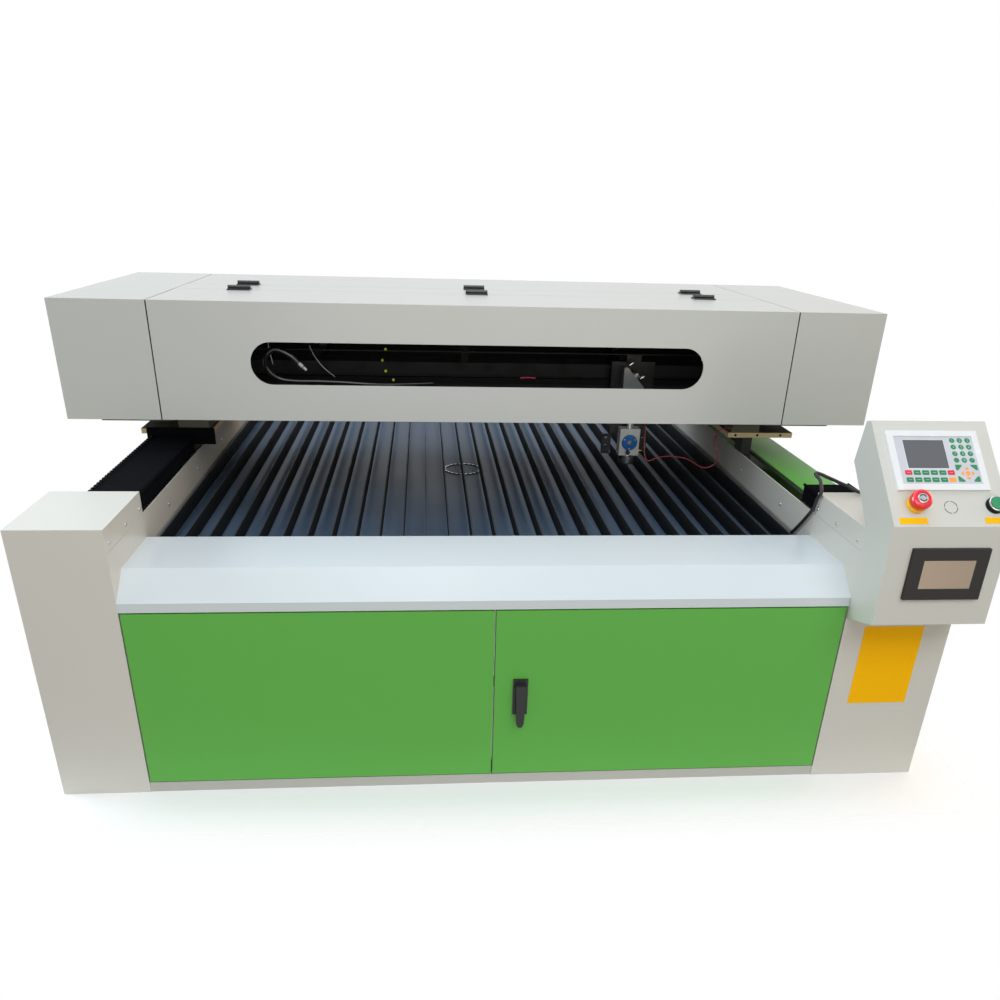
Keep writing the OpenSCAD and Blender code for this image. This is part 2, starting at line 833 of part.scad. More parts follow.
module bellows_front_right() {
    color(near_black) at_front() pleated(ped_d + touch, ped_d + folded, 12);
}

module bellows_rear() {
    color(near_black) at_front() both_sides() pleated(foot_y1 + touch, rear_y - touch, 90);
}

// ---- Gantry ----

side_plate_low = foot_z + foot_t;

module gantry_beam() {
    color(steel) at_front() difference() {
        block([-plate_x, beam_y, gbeam_z], [plate_x, beam_y + gbeam_d, gbeam_top]);
        block([-plate_x - 1, beam_y + 6, gbeam_z + 6], [plate_x + 1, beam_y + gbeam_d - 6, gbeam_top - 6]);
    }
}

module gantry_feet() {
    clamp_top = axle_z + pulley_r + touch + belt_t + touch;
    shelf_z = side_plate_low + 20;
    color("#d8cfae") at_front() both_sides() {
        // Foot bar and its risers on the carriages.
        block([foot_x0, foot_y0, foot_z], [foot_x1, foot_y1, side_plate_low]);
        for (y = wheelbase_y)
            block([rail_x - 14, y - 28, carriage_top], [rail_x + 14, y + 28, foot_z]);
        // Jaw over the belt.
        block([belt_x - belt_w / 2, foot_y0 + 100, clamp_top], [belt_x + belt_w / 2, foot_y0 + 140, foot_z]);
        // Stiffener on the bar, and the side plate that holds the beam.
        block([foot_x0 + 8, foot_y0, side_plate_low], [plate_x, foot_y1, side_plate_low + 34]);
        block([plate_x, foot_y0 + 40, side_plate_low], [plate_x + plate_t, foot_y1 - 40, gbeam_top]);
        // Ledge that carries the end cap.
        block([plate_x + plate_t, foot_y0, shelf_z], [gantry_x - 22, foot_y1, shelf_z + 6]);
        block([gantry_x - 28, foot_y0, shelf_z], [gantry_x - 22, foot_y1, gantry_low + 40]);
        block([gantry_x - 28, foot_y0 + 60, gantry_low + 30], [gantry_x - skin, foot_y1 - 60, gantry_low + 40]);
    }
}

module carriages() {
    half = carriage_w / 2;
    gap = 0.2;
    color("#8f949a") at_front() both_sides() for (y = wheelbase_y) difference() {
        block([rail_x - half, y - carriage_l / 2, carriage_z], [rail_x + half, y + carriage_l / 2, carriage_top]);
        block([rail_x - rail_w / 2 - gap, y - carriage_l, carriage_z - 1],
            [rail_x + rail_w / 2 + gap, y + carriage_l, beam_top + rail_h + gap]);
    }
}

// An end cap on the right: a shell open below and towards the middle.
module end_cap() {
    cap_x = inner_x + seam_gap;
    difference() {
        block([cap_x, gantry_y, gantry_low], [gantry_x, gantry_y + gantry_d, gantry_top]);
        block([cap_x - 1, gantry_y + skin, gantry_low - 1], [gantry_x - skin, gantry_y + gantry_d - skin, gantry_top - skin]);
    }
}

module end_cap_left() {
    color(cream) at_front() mirror([1, 0, 0]) end_cap();
}

module end_cap_right() {
    color(cream) at_front() end_cap();
}

seam_y = [gantry_y + seam_front, gantry_y + seam_rear];

module cover_spine() {
    post_x = [-inner_x + 12, -40, inner_x - 28];
    color(cream) at_front() {
        block([-inner_x, seam_y[0] + 1, gantry_top - skin], [inner_x, seam_y[1] - 1, gantry_top]);
        for (x = post_x) {
            block([x, seam_y[0] + 4, gbeam_top], [x + 20, seam_y[0] + 10, gantry_top - skin]);
            block([x, seam_y[0] + 4, gbeam_top], [x + 20, beam_y + gbeam_d, gbeam_top + 4]);
        }
    }
}

module front_cover() {
    y0 = gantry_y;
    path = [[y0 + 16, gantry_low], [y0, gantry_low], [y0, gantry_top], [seam_y[0] - 1, gantry_top]];
    window_z = gantry_low + window_up;
    end_x = window_w / 2 - window_h / 2;
    color(cream) at_front() difference() {
        folded_sheet(-inner_x + 1, inner_x - 1, path, skin);
        both_sides() bar_y(y0 - 1, y0 + skin + 1, window_h / 2, end_x, window_z);
        block([-end_x, y0 - 1, window_z - window_h / 2], [end_x, y0 + skin + 1, window_z + window_h / 2]);
    }
}

module rear_cover() {
    y1 = gantry_y + gantry_d;
    path = [[seam_y[1] + 1, gantry_top], [y1, gantry_top], [y1, gantry_low], [y1 - 16, gantry_low]];
    color(cream) at_front() folded_sheet(-inner_x + 1, inner_x - 1, path, skin);
}

// Hinges on both seams: the middle knuckle and the pin belong to the spine.
knuckle_r = 5;
middle = hinge_w / 6;

module at_hinges(s) {
    for (x = hinge_x) translate([x, seam_y[s], 0]) children();
}

module fixed_leaf(way) {
    translate([-middle, 0, hinge_axis_z]) rotate([0, 90, 0]) cylinder(h = 2 * middle, r = knuckle_r);
    translate([-hinge_w / 2, 0, hinge_axis_z]) rotate([0, 90, 0]) cylinder(h = hinge_w, r = hinge_pin_r);
    leaf_side(way) {
        block([-hinge_w / 2, knuckle_r + 1, gantry_top], [hinge_w / 2, hinge_l / 2, gantry_top + hinge_t]);
        block([-middle, 0, gantry_top + 0.5], [middle, hinge_l / 2, gantry_top + hinge_t]);
    }
}

module moving_leaf(way) {
    for (x = [-hinge_w / 2, middle + touch]) difference() {
        union() {
            translate([x, 0, hinge_axis_z]) rotate([0, 90, 0])
                cylinder(h = hinge_w / 2 - middle - touch, r = knuckle_r);
            leaf_side(-way) block([x, 1, gantry_top], [x + hinge_w / 2 - middle - touch, hinge_l / 2, gantry_top + hinge_t]);
        }
        translate([x - 1, 0, hinge_axis_z]) rotate([0, 90, 0]) cylinder(h = hinge_w, r = hinge_pin_r + run_gap);
    }
    leaf_side(-way) block([-hinge_w / 2, knuckle_r + 1, gantry_top], [hinge_w / 2, hinge_l / 2, gantry_top + hinge_t]);
}

// Turns a leaf towards the front when way is below zero.
module leaf_side(way) {
    if (way > 0) children();
    else mirror([0, 1, 0]) children();
}

module hinge_leaves_fixed() {
    color(near_black) at_front() {
        at_hinges(0) fixed_leaf(1);
        at_hinges(1) fixed_leaf(-1);
    }
}

module hinge_leaves_front() {
    color(near_black) at_front() at_hinges(0) moving_leaf(1);
}

module hinge_leaves_rear() {
    color(near_black) at_front() at_hinges(1) moving_leaf(-1);
}

// ---- Laser and optics ----

cradle_x = [-tube_l / 2 + 260, tube_l / 2 - 260];

module laser_tube() {
    half = tube_l / 2;
    color("#d9e4ea") at_front() translate([0, tube_y, tube_z]) rotate([0, 90, 0]) rotate_extrude()
        polygon([
            [0, -half], [18, -half], [18, -half + 45], [30, -half + 50], [tube_r, -half + 70],
            [tube_r, half - 70], [30, half - 50], [18, half - 45], [18, half], [0, half]
        ]);
}

xmotor_w = 57;
xmotor_l = 76;

module optic_mounts() {
    arm_z = gbeam_top - 24;
    color("#a5a9ad") at_front() {
        // Arms behind the beam with the cradles of the laser tube.
        for (x = cradle_x) difference() {
            union() {
                block([x - 15, beam_y + gbeam_d, arm_z], [x + 15, tube_y + 46, gbeam_top]);
                block([x - 10, tube_y - 50, gbeam_top - 1], [x + 10, tube_y + 46, tube_z]);
            }
            bar_x(x - 20, x + 20, tube_r + touch, tube_y, tube_z);
        }
        // Seat of the cross-axis motor and bracket of the idler.
        block([xpulley_x - 26, beam_y + 6, gbeam_top], [xpulley_x + 26, beam_y + 80, xpulley_z - xmotor_w / 2]);
        block([-xpulley_x - 16, beam_y - 6, gbeam_top], [-xpulley_x + 16, beam_y + 40, xpulley_z + 16]);
        bar_y(xbelt_y0 + 0.5, beam_y, 4, -xpulley_x, xpulley_z);
        // Corner mirror at the left end of the cross axis.
        difference() {
            block([-inner_x + 40, beam_y + 30, gbeam_top], [-inner_x + 90, beam_y + 80, gbeam_top + 70]);
            bar_y(beam_y + 20, beam_y + 90, 12, -inner_x + 65, gbeam_top + 42);
        }
    }
}

module cross_rail() {
    half = rail_h / 2;
    outline = [
        [0, -half], [4, -half], [6, -half + 2], [10, -half + 2], [12, -half], [rail_w, -half],
        [rail_w, half], [12, half], [10, half - 2], [6, half - 2], [4, half], [0, half]
    ];
    profile = [for (p = outline) [beam_y - p[0], xrail_z + p[1]]];
    color(steel) at_front() along_x(-inner_x + 12, inner_x - 12, profile);
}

module head_belt() {
    color(near_black) at_front() translate([-xpulley_x, xbelt_y0 + xbelt_w, xpulley_z]) rotate([90, 0, 0])
        belt_loop(2 * xpulley_x, xpulley_r + touch, xbelt_w);
}

module head_motor() {
    half = xmotor_w / 2;
    corner = 5;
    outline = [
        [-half, -half + corner], [-half, half - corner], [-half + corner, half], [half - corner, half],
        [half, half - corner], [half, -half + corner], [half - corner, -half], [-half + corner, -half]
    ];
    color(near_black) at_front() difference() {
        translate([xpulley_x, beam_y + 2 + xmotor_l, xpulley_z]) rotate([90, 0, 0]) linear_extrude(xmotor_l) polygon(outline);
        bar_y(beam_y, beam_y + 24, 4 + run_gap, xpulley_x, xpulley_z);
    }
}

module head_drive_pulley() {
    color(steel) at_front() {
        bar_y(xbelt_y0, xbelt_y0 + xbelt_w, xpulley_r, xpulley_x, xpulley_z);
        bar_y(xbelt_y0, beam_y + 20, 4, xpulley_x, xpulley_z);
    }
}

module head_idler() {
    color(steel) at_front() difference() {
        bar_y(xbelt_y0, xbelt_y0 + xbelt_w, xpulley_r, -xpulley_x, xpulley_z);
        bar_y(xbelt_y0 - 1, xbelt_y0 + xbelt_w + 1, 4 + run_gap, -xpulley_x, xpulley_z);
    }
}

head_plate_y = beam_y - 33;
head_plate_t = 8;
head_top = gbeam_top + 14;
plate_waist = foot_z + foot_t + 4;

module head_carriage() {
    gap = 0.2;
    jaw_top = xpulley_z - xpulley_r - 2 * touch - belt_t;
    color(near_black) at_front() translate([head_x, 0, 0]) {
        // Plate, narrower where it passes the foot bars, and the guide block on the cross rail.
        block([-60, head_plate_y, plate_waist], [60, head_plate_y + head_plate_t, head_top]);
        block([-50, head_plate_y, gantry_low - 81], [50, head_plate_y + head_plate_t, plate_waist]);
        difference() {
            block([-35, head_plate_y + head_plate_t, xrail_z - 17], [35, beam_y - 4, xrail_z + 17]);
            block([-36, beam_y - rail_w - gap, xrail_z - rail_h / 2 - gap], [36, beam_y, xrail_z + rail_h / 2 + gap]);
        }
        // Jaw under the belt.
        block([-20, head_plate_y, head_top], [20, head_plate_y + 18, jaw_top]);
    }
}

bracket_z = gantry_low + 50;
mirror_lean = atan2(52, 48);

module mirror_bracket() {
    deep = 34;
    color("#9a9da0") at_front() translate([head_x, 0, 0]) {
        translate([0, head_plate_y, 0]) rotate([90, 0, 0]) linear_extrude(deep)
            polygon([[-32, bracket_z], [26, bracket_z], [26, bracket_z + 4], [-22, bracket_z + 56], [-32, bracket_z + 56]]);
        // Mirror holder on the slanted side.
        translate([2, head_plate_y - deep / 2, bracket_z + 30])
            rotate([0, mirror_lean, 0]) translate([0, 0, touch]) cylinder(h = 9, r = 13);
    }
}

box_low = gantry_low - 136;
box_top = gantry_low - 61;
box_d = 36;

module head_body() {
    color("#b4b6b4") at_front() difference() {
        block([head_x - 28, head_plate_y - box_d, box_low], [head_x + 28, head_plate_y, box_top]);
        translate([head_x, head_plate_y - box_d / 2, box_low - 1])
            cylinder(h = box_top - box_low + 2, r = lens_tube_r + run_gap);
    }
}

module lens_tube() {
    color("#b8bab8") at_front() translate([head_x, head_plate_y - box_d / 2, 0]) {
        translate([0, 0, box_low - 10]) cylinder(h = 100, r = lens_tube_r);
        translate([0, 0, box_low - 25]) rotate_extrude()
            polygon([[0, 0], [21, 0], [24, 3], [24, 22], [0, 22]]);
        translate([0, 0, box_low - 37]) rotate_extrude() polygon([[0, 0], [4, 0], [10, 13], [0, 13]]);
    }
}

module bed_cable() {
    color("#202224") at_front() swept(cable_points, cable_r, 8);
}

module pointer_wire() {
    color("#a03038") at_front() swept(wire_points, wire_r, 8);
}

base_frame();
pedestal_left();
pedestal_right();
front_shelf();
side_panels();
rear_housing();
bed_walls();
waste_tray();
strip_supports();
cutting_strips();
linear_rails();
drive_belts();
bearing_blocks();
drive_motor();
door_hinge_pins();
panel_screws();
door_left();
door_right();
handle_base();
handle_lever();
handle_cam();
console_housing();
controller_frame();
display_glass();
controller_keys();
touch_panel_frame();
blank_labels();
estop_base();
estop_head();
button_collar();
start_button();
bellows_front_left();
bellows_front_right();
bellows_rear();
drive_shaft();
front_idlers();
gantry_beam();
gantry_feet();
carriages();
end_cap_left();
end_cap_right();
cover_spine();
front_cover();
rear_cover();
hinge_leaves_fixed();
hinge_leaves_front();
hinge_leaves_rear();
laser_tube();
optic_mounts();
cross_rail();
head_belt();
head_motor();
head_drive_pulley();
head_idler();
head_carriage();
mirror_bracket();
head_body();
lens_tube();
bed_cable();
pointer_wire();
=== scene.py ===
"""Finishes and fine pieces of a flatbed laser engraving machine, as an add-on that runs as a script."""

import math

import bmesh
import bpy
import numpy as np
from bpy.props import FloatProperty, FloatVectorProperty, IntProperty, PointerProperty
from bpy.types import Operator, Panel, PropertyGroup
from mathutils import Matrix, Vector


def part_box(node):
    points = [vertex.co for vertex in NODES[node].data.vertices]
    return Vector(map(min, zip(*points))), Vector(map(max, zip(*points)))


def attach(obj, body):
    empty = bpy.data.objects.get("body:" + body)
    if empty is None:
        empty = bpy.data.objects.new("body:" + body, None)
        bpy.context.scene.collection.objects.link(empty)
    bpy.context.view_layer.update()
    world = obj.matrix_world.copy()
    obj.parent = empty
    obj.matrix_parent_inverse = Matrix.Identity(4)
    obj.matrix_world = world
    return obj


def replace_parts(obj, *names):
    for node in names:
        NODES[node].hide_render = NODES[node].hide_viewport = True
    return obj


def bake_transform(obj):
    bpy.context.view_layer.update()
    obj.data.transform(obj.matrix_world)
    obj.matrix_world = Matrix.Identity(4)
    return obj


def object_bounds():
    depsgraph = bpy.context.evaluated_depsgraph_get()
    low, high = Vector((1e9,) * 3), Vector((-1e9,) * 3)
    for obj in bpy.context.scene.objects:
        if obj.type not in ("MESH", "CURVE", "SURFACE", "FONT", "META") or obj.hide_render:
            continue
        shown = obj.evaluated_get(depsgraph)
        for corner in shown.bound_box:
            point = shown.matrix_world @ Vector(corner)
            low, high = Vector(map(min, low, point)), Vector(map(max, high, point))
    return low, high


bl_info = {
    "name": "Flatbed laser engraver",
    "version": (1, 0, 0),
    "blender": (4, 5, 0),
    "location": "3D View > Sidebar > Engraver",
    "description": "Finishes and fine pieces of a flatbed laser engraving machine",
    "category": "Object",
}

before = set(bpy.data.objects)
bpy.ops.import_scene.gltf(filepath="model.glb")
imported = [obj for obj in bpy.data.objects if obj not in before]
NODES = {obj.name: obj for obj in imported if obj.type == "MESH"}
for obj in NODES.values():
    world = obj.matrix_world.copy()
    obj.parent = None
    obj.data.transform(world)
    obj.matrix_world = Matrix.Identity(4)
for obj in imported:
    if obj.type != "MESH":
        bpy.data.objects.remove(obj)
CAD_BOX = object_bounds()


# ---- Places taken from the frame ----

BODY_LOW, BODY_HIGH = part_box("head_body")
RIGHT_LOW, RIGHT_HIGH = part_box("pedestal_right")
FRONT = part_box("front_shelf")[0].y
STRIPS_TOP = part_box("cutting_strips")[1].z
FEET_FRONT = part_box("gantry_feet")[0].y
FEET_BAR, FEET_TOP = 0.606, 0.6195
HEAD_X = (BODY_LOW.x + BODY_HIGH.x) / 2

# The hood's hollow, open below: its walls are a little thinner than the sheets, so their inner faces lie in
# it. Inside it the hood's paint is painted near black as shade.
SKIN = 0.0022
HOOD = [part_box(name) for name in ("end_cap_left", "end_cap_right", "rear_cover", "front_cover")]
SHADED_HOLLOW = ([min(low[i] for low, high in HOOD) + (SKIN, SKIN, -0.01)[i] for i in range(3)],
          [max(high[i] for low, high in HOOD) - SKIN for i in range(3)])
RIGHTWARD, UPWARD, FORWARD = (1, 0, 0), (0, 0, 1), (0, -1, 0)


def at_front(x, y, z):
    """A point given in millimetres from the middle of the base's front face on the floor."""
    return Vector((x / 1000, FRONT + y / 1000, z / 1000))


# ---- Shader arithmetic ----

def arithmetic(operation, swapped=False):
    """A method that joins a value and its other terms in one Math node."""
    def method(self, *other):
        terms = (*other, self) if swapped else (self, *other)
        return self.graph.node("Math", {"operation": operation}, dict(enumerate(terms)))
    return method


class Value:
    """A socket that stands in ordinary arithmetic; each operator adds one Math node."""

    def __init__(self, graph, socket):
        self.graph = graph
        self.socket = socket

    __add__ = __radd__ = arithmetic("ADD")
    __sub__ = arithmetic("SUBTRACT")
    __rsub__ = arithmetic("SUBTRACT", swapped=True)
    __mul__ = __rmul__ = arithmetic("MULTIPLY")
    __pow__ = arithmetic("POWER")
    __gt__ = arithmetic("GREATER_THAN")
    __lt__ = arithmetic("LESS_THAN")
    __abs__ = arithmetic("ABSOLUTE")
    sine = arithmetic("SINE")
    at_least = arithmetic("MAXIMUM")


class Graph:
    """A node tree that is built from expressions."""

    def __init__(self, tree):
        self.tree = tree

    def node(self, kind, settings=None, values=None, output=0):
        """One shader node: settings first, then the values or links of its sockets."""
        made = self.tree.nodes.new("ShaderNode" + kind)
        for key, value in (settings or {}).items():
            setattr(made, key, value)
        for key, value in (values or {}).items():
            self.feed(made.inputs[key], value)
        return Value(self, made.outputs[output] if made.outputs else None)

    def feed(self, socket, value):
        if isinstance(value, Value):
            self.tree.links.new(value.socket, socket)
        else:
            socket.default_value = value


class Finish(Graph):
    """A procedural material on Object coordinates."""

    def __init__(self, name):
        self.material = bpy.data.materials.new(name)
        self.material.use_nodes = True
        super().__init__(self.material.node_tree)
        self.shader = self.tree.nodes["Principled BSDF"]
        self.place = self.node("TexCoord", output="Object")

    def fixed(self, **values):
        """Uniform numbers set on the shader's own sockets; underscores stand for spaces."""
        for key, value in values.items():
            self.shader.inputs[key.replace("_", " ")].default_value = value

    def drive(self, **values):
        """Numbers or expressions that feed the shader's sockets."""
        for key, value in values.items():
            self.feed(self.shader.inputs[key.replace("_", " ")], value)

    def along(self, axis):
        """Object coordinate along axis 0, 1 or 2, in metres."""
        return self.node("SeparateXYZ", values={0: self.place}, output=axis)

    def noise(self, scale, detail=2.0, stretch=(1.0, 1.0, 1.0)):
        """Noise from 0 to 1, with scale cells a metre, stretched per axis."""
        where = self.node("VectorMath", {"operation": "MULTIPLY"}, {0: self.place, 1: stretch})
        return self.node("TexNoise", values={"Vector": where, "Scale": scale, "Detail": detail})

    def step(self, value, low, high):
        """0 at low, 1 at high, smooth between and flat beyond."""
        ends = {0: value, 1: low, 2: high, 3: 0.0, 4: 1.0}
        return self.node("MapRange", {"interpolation_type": "SMOOTHSTEP"}, ends)

    def mix(self, factor, first, second):
        return self.node("Mix", {"data_type": "RGBA"}, {0: factor, 6: first, 7: second}, output=2)

    def within(self, low, high):
        """1 inside a box in object coordinates, 0 outside: the product of six comparisons."""
        share = 1.0
        for axis in range(3):
            share = (self.along(axis) > low[axis]) * share
            share = (self.along(axis) < high[axis]) * share
        return share

    def relief(self, height, distance):
        bump = self.node("Bump", values={"Height": height, "Distance": distance, "Strength": 1.0})
        self.feed(self.shader.inputs["Normal"], bump)

    def done(self, tone, rough, height=None, distance=0.0, **fixed):
        """The material with its tone, its roughness, any relief, and the rest as fixed numbers."""
        self.drive(Base_Color=tone, Roughness=rough)
        self.fixed(**fixed)
        if height:
            self.relief(height, distance)
        return self.material


def srgb(red, green, blue):
    """A screen colour from 0 to 255 as linear RGBA."""
    parts = [channel / 255 for channel in (red, green, blue)]
    return tuple(c / 12.92 if c <= 0.04045 else ((c + 0.055) / 1.055) ** 2.4 for c in parts) + (1.0,)


def shade(colour, share):
    """The same colour, lighter or darker by a share."""
    return tuple(min(1.0, c * share) for c in colour[:3]) + (1.0,)


# ---- Finishes ----

def sprayed(name, colour, rough=0.36, coat=0.25, peel=0.00005, inside=None):
    """Powder coat on sheet: fine orange peel, a slow wave of the panel; painted shade inside a given box:
    near black and dull.
    """
    f = Finish(name)
    slow = f.noise(1.3, 3)
    dust = f.step(f.noise(14, 6), 0.5, 0.8)
    tone = f.mix(slow * 0.5, shade(colour, 1.02), shade(colour, 0.95))
    tone = f.mix(dust * 0.1, tone, shade(colour, 0.9))
    f.fixed(Coat_Weight=coat)
    if inside:
        # Painted shade: inside the box the paint turns near black, standing for the shadow in the hood's
        # hollow.
        painted_shade = f.within(*inside)
        tone = f.mix(painted_shade, tone, shade(colour, 0.004))
        rough = rough + painted_shade * 0.5
        f.drive(Coat_Weight=coat - painted_shade * coat)
    rough = rough + 0.07 * (f.noise(6, 4) - 0.5)
    return f.done(tone, rough, f.noise(520, 2) + f.noise(2.2, 1) * 3.0, peel, Coat_Roughness=0.22)


def brushed(name, colour, rough, grain=(1, 1, 1), metal=1.0):
    """Drawn or ground metal: fine streaks along one axis, soft handling marks."""
    f = Finish(name)
    streak = f.noise(900, 3, grain)
    marks = f.step(f.noise(18, 5), 0.5, 0.75)
    tone = f.mix(streak * 0.7, shade(colour, 1.08), shade(colour, 0.8))
    return f.done(tone, rough + 0.16 * (streak - 0.5) + marks * 0.14, streak, 0.00004, Metallic=metal)


def moulded(name, colour, rough=0.45, coat=0.0, grain=900.0):
    """Moulded plastic or rubber: a fine spark-eroded grain and a slight change of gloss."""
    f = Finish(name)
    pits = f.noise(grain, 2)
    worn = f.step(f.noise(24, 4), 0.52, 0.72)
    tone = f.mix(worn * 0.35, colour, shade(colour, 1.25))
    rough = rough + 0.12 * (pits - 0.5) - worn * 0.06
    return f.done(tone, rough, pits, 0.00004, Coat_Weight=coat, Coat_Roughness=0.1)


def sooty(name, colour, dirt, rough):
    """Coated steel under the beam: soft smears of dust along the bed and small burnt specks."""
    f = Finish(name)
    smear = f.noise(5, 5, (1.0, 0.3, 1.0))
    specks = f.step(f.noise(160, 4), 0.7, 0.78)
    tone = f.mix(f.step(smear, 0.42, 0.75), colour, dirt)
    tone = f.mix(specks * 0.3, tone, shade(dirt, 1.4))
    rough = rough + 0.12 * f.step(smear, 0.4, 0.8)
    return f.done(tone, rough, f.noise(240, 3) + smear * 2.0, 0.00008, Specular_IOR_Level=0.1)


def glazed(name, colour, rough):
    """Glass or clear hose: a coloured ground under a clear coat, with a faint film on it."""
    f = Finish(name)
    film = f.step(f.noise(38, 6), 0.45, 0.8)
    tone = f.mix(f.noise(11, 2) * 0.4, colour, shade(colour, 1.3))
    return f.done(tone, rough + film * 0.16, Coat_Weight=1.0, Coat_Roughness=0.03)


def woven(name, colour):
    """Coated bellows cloth: a fine crossed weave, paler where dust lies on the crests."""
    f = Finish(name)
    weave = (f.along(0) * 4200.0).sine() * (f.along(1) * 4200.0).sine()
    dust = f.step(f.noise(30, 5), 0.5, 0.8)
    tone = f.mix(dust * 0.3, colour, shade(colour, 1.8))
    return f.done(tone, 0.8 + dust * 0.1, weave + f.noise(60, 3) * 2.0, 0.00006, Specular_IOR_Level=0.06)


def striped(name, colour, edge, top):
    """Blade of a cutting strip: dark scorched sides and a painted highlight along the top edge, where it is
    also smoother.
    """
    f = Finish(name)
    # Painted highlight: a lighter line along the top edge.
    painted_highlight = f.step(f.along(2), top - 0.0012, top - 0.0002)
    scorch = f.step(f.noise(26, 5, (1.0, 0.4, 1.0)), 0.45, 0.7)
    tone = f.mix(painted_highlight * 0.6, f.mix(scorch * 0.6, colour, shade(colour, 0.5)), edge)
    rough = 0.6 + 0.15 * scorch - painted_highlight * 0.15
    return f.done(tone, rough, f.noise(300, 3), 0.00005, Specular_IOR_Level=0.25)


def two_screens(name, upper, lower, split):
    """Glass of both displays: one tone above the split height; below it one that fades to the right."""
    f = Finish(name)
    film = f.step(f.noise(38, 6), 0.45, 0.8)
    ramp = f.step(f.along(0), RIGHT_LOW.x + 0.03, RIGHT_HIGH.x - 0.03)
    tone = f.mix(f.along(2) > split, f.mix(ramp * 0.6, lower, shade(lower, 0.72)), upper)
    return f.done(tone, 0.16 + film * 0.14, Coat_Weight=0.8, Coat_Roughness=0.04)


def plain_field(name, colour):
    """Printed film with nothing on it: an even field with the ink's faint mottle."""
    f = Finish(name)
    tone = f.mix(f.noise(90, 4) * 0.3, colour, shade(colour, 0.86))
    rough = 0.6 + 0.1 * (f.noise(300, 2) - 0.5)
    return f.done(tone, rough, f.noise(700, 1), 0.00001, Specular_IOR_Level=0.15)


def banded_shade(name, top, *bands):
    """Bands of colour by height, painted light and shade on the gantry feet: each (height, colour) band holds
    from its height up.
    """
    f = Finish(name)
    tone = bands[0][1]
    for height, colour in bands[1:]:
        tone = f.mix(f.along(2) > height, tone, colour)
    tone = f.mix(f.noise(20, 4) * 0.25, tone, shade(top, 0.7))
    return f.done(tone, 0.5 + 0.1 * (f.noise(60, 3) - 0.5), f.noise(400, 2), 0.00003)


def toothed(name, colour, pitch):
    """Timing belt: rubber with a rib every tooth pitch along the belt."""
    f = Finish(name)
    rib = (f.along(1) * (2 * math.pi / pitch)).sine()
    tone = f.mix(f.step(rib, -0.2, 0.4), colour, shade(colour, 1.7))
    return f.done(tone, 0.6 + 0.1 * f.noise(200, 2), rib, 0.0004)


# Painted light and shade on the gantry feet: black below the bar stands for the shadow under the hood, the
# bar's face is brighter than its paint for light falling on it, and the dark olive above is the stiffener in
# painted shade.
OLIVE = (86, 84, 70)
FOOT_SHADE_BANDS = ((0, srgb(22, 24, 27)), (FEET_BAR, srgb(244, 218, 176)), (FEET_TOP, srgb(*OLIVE)))

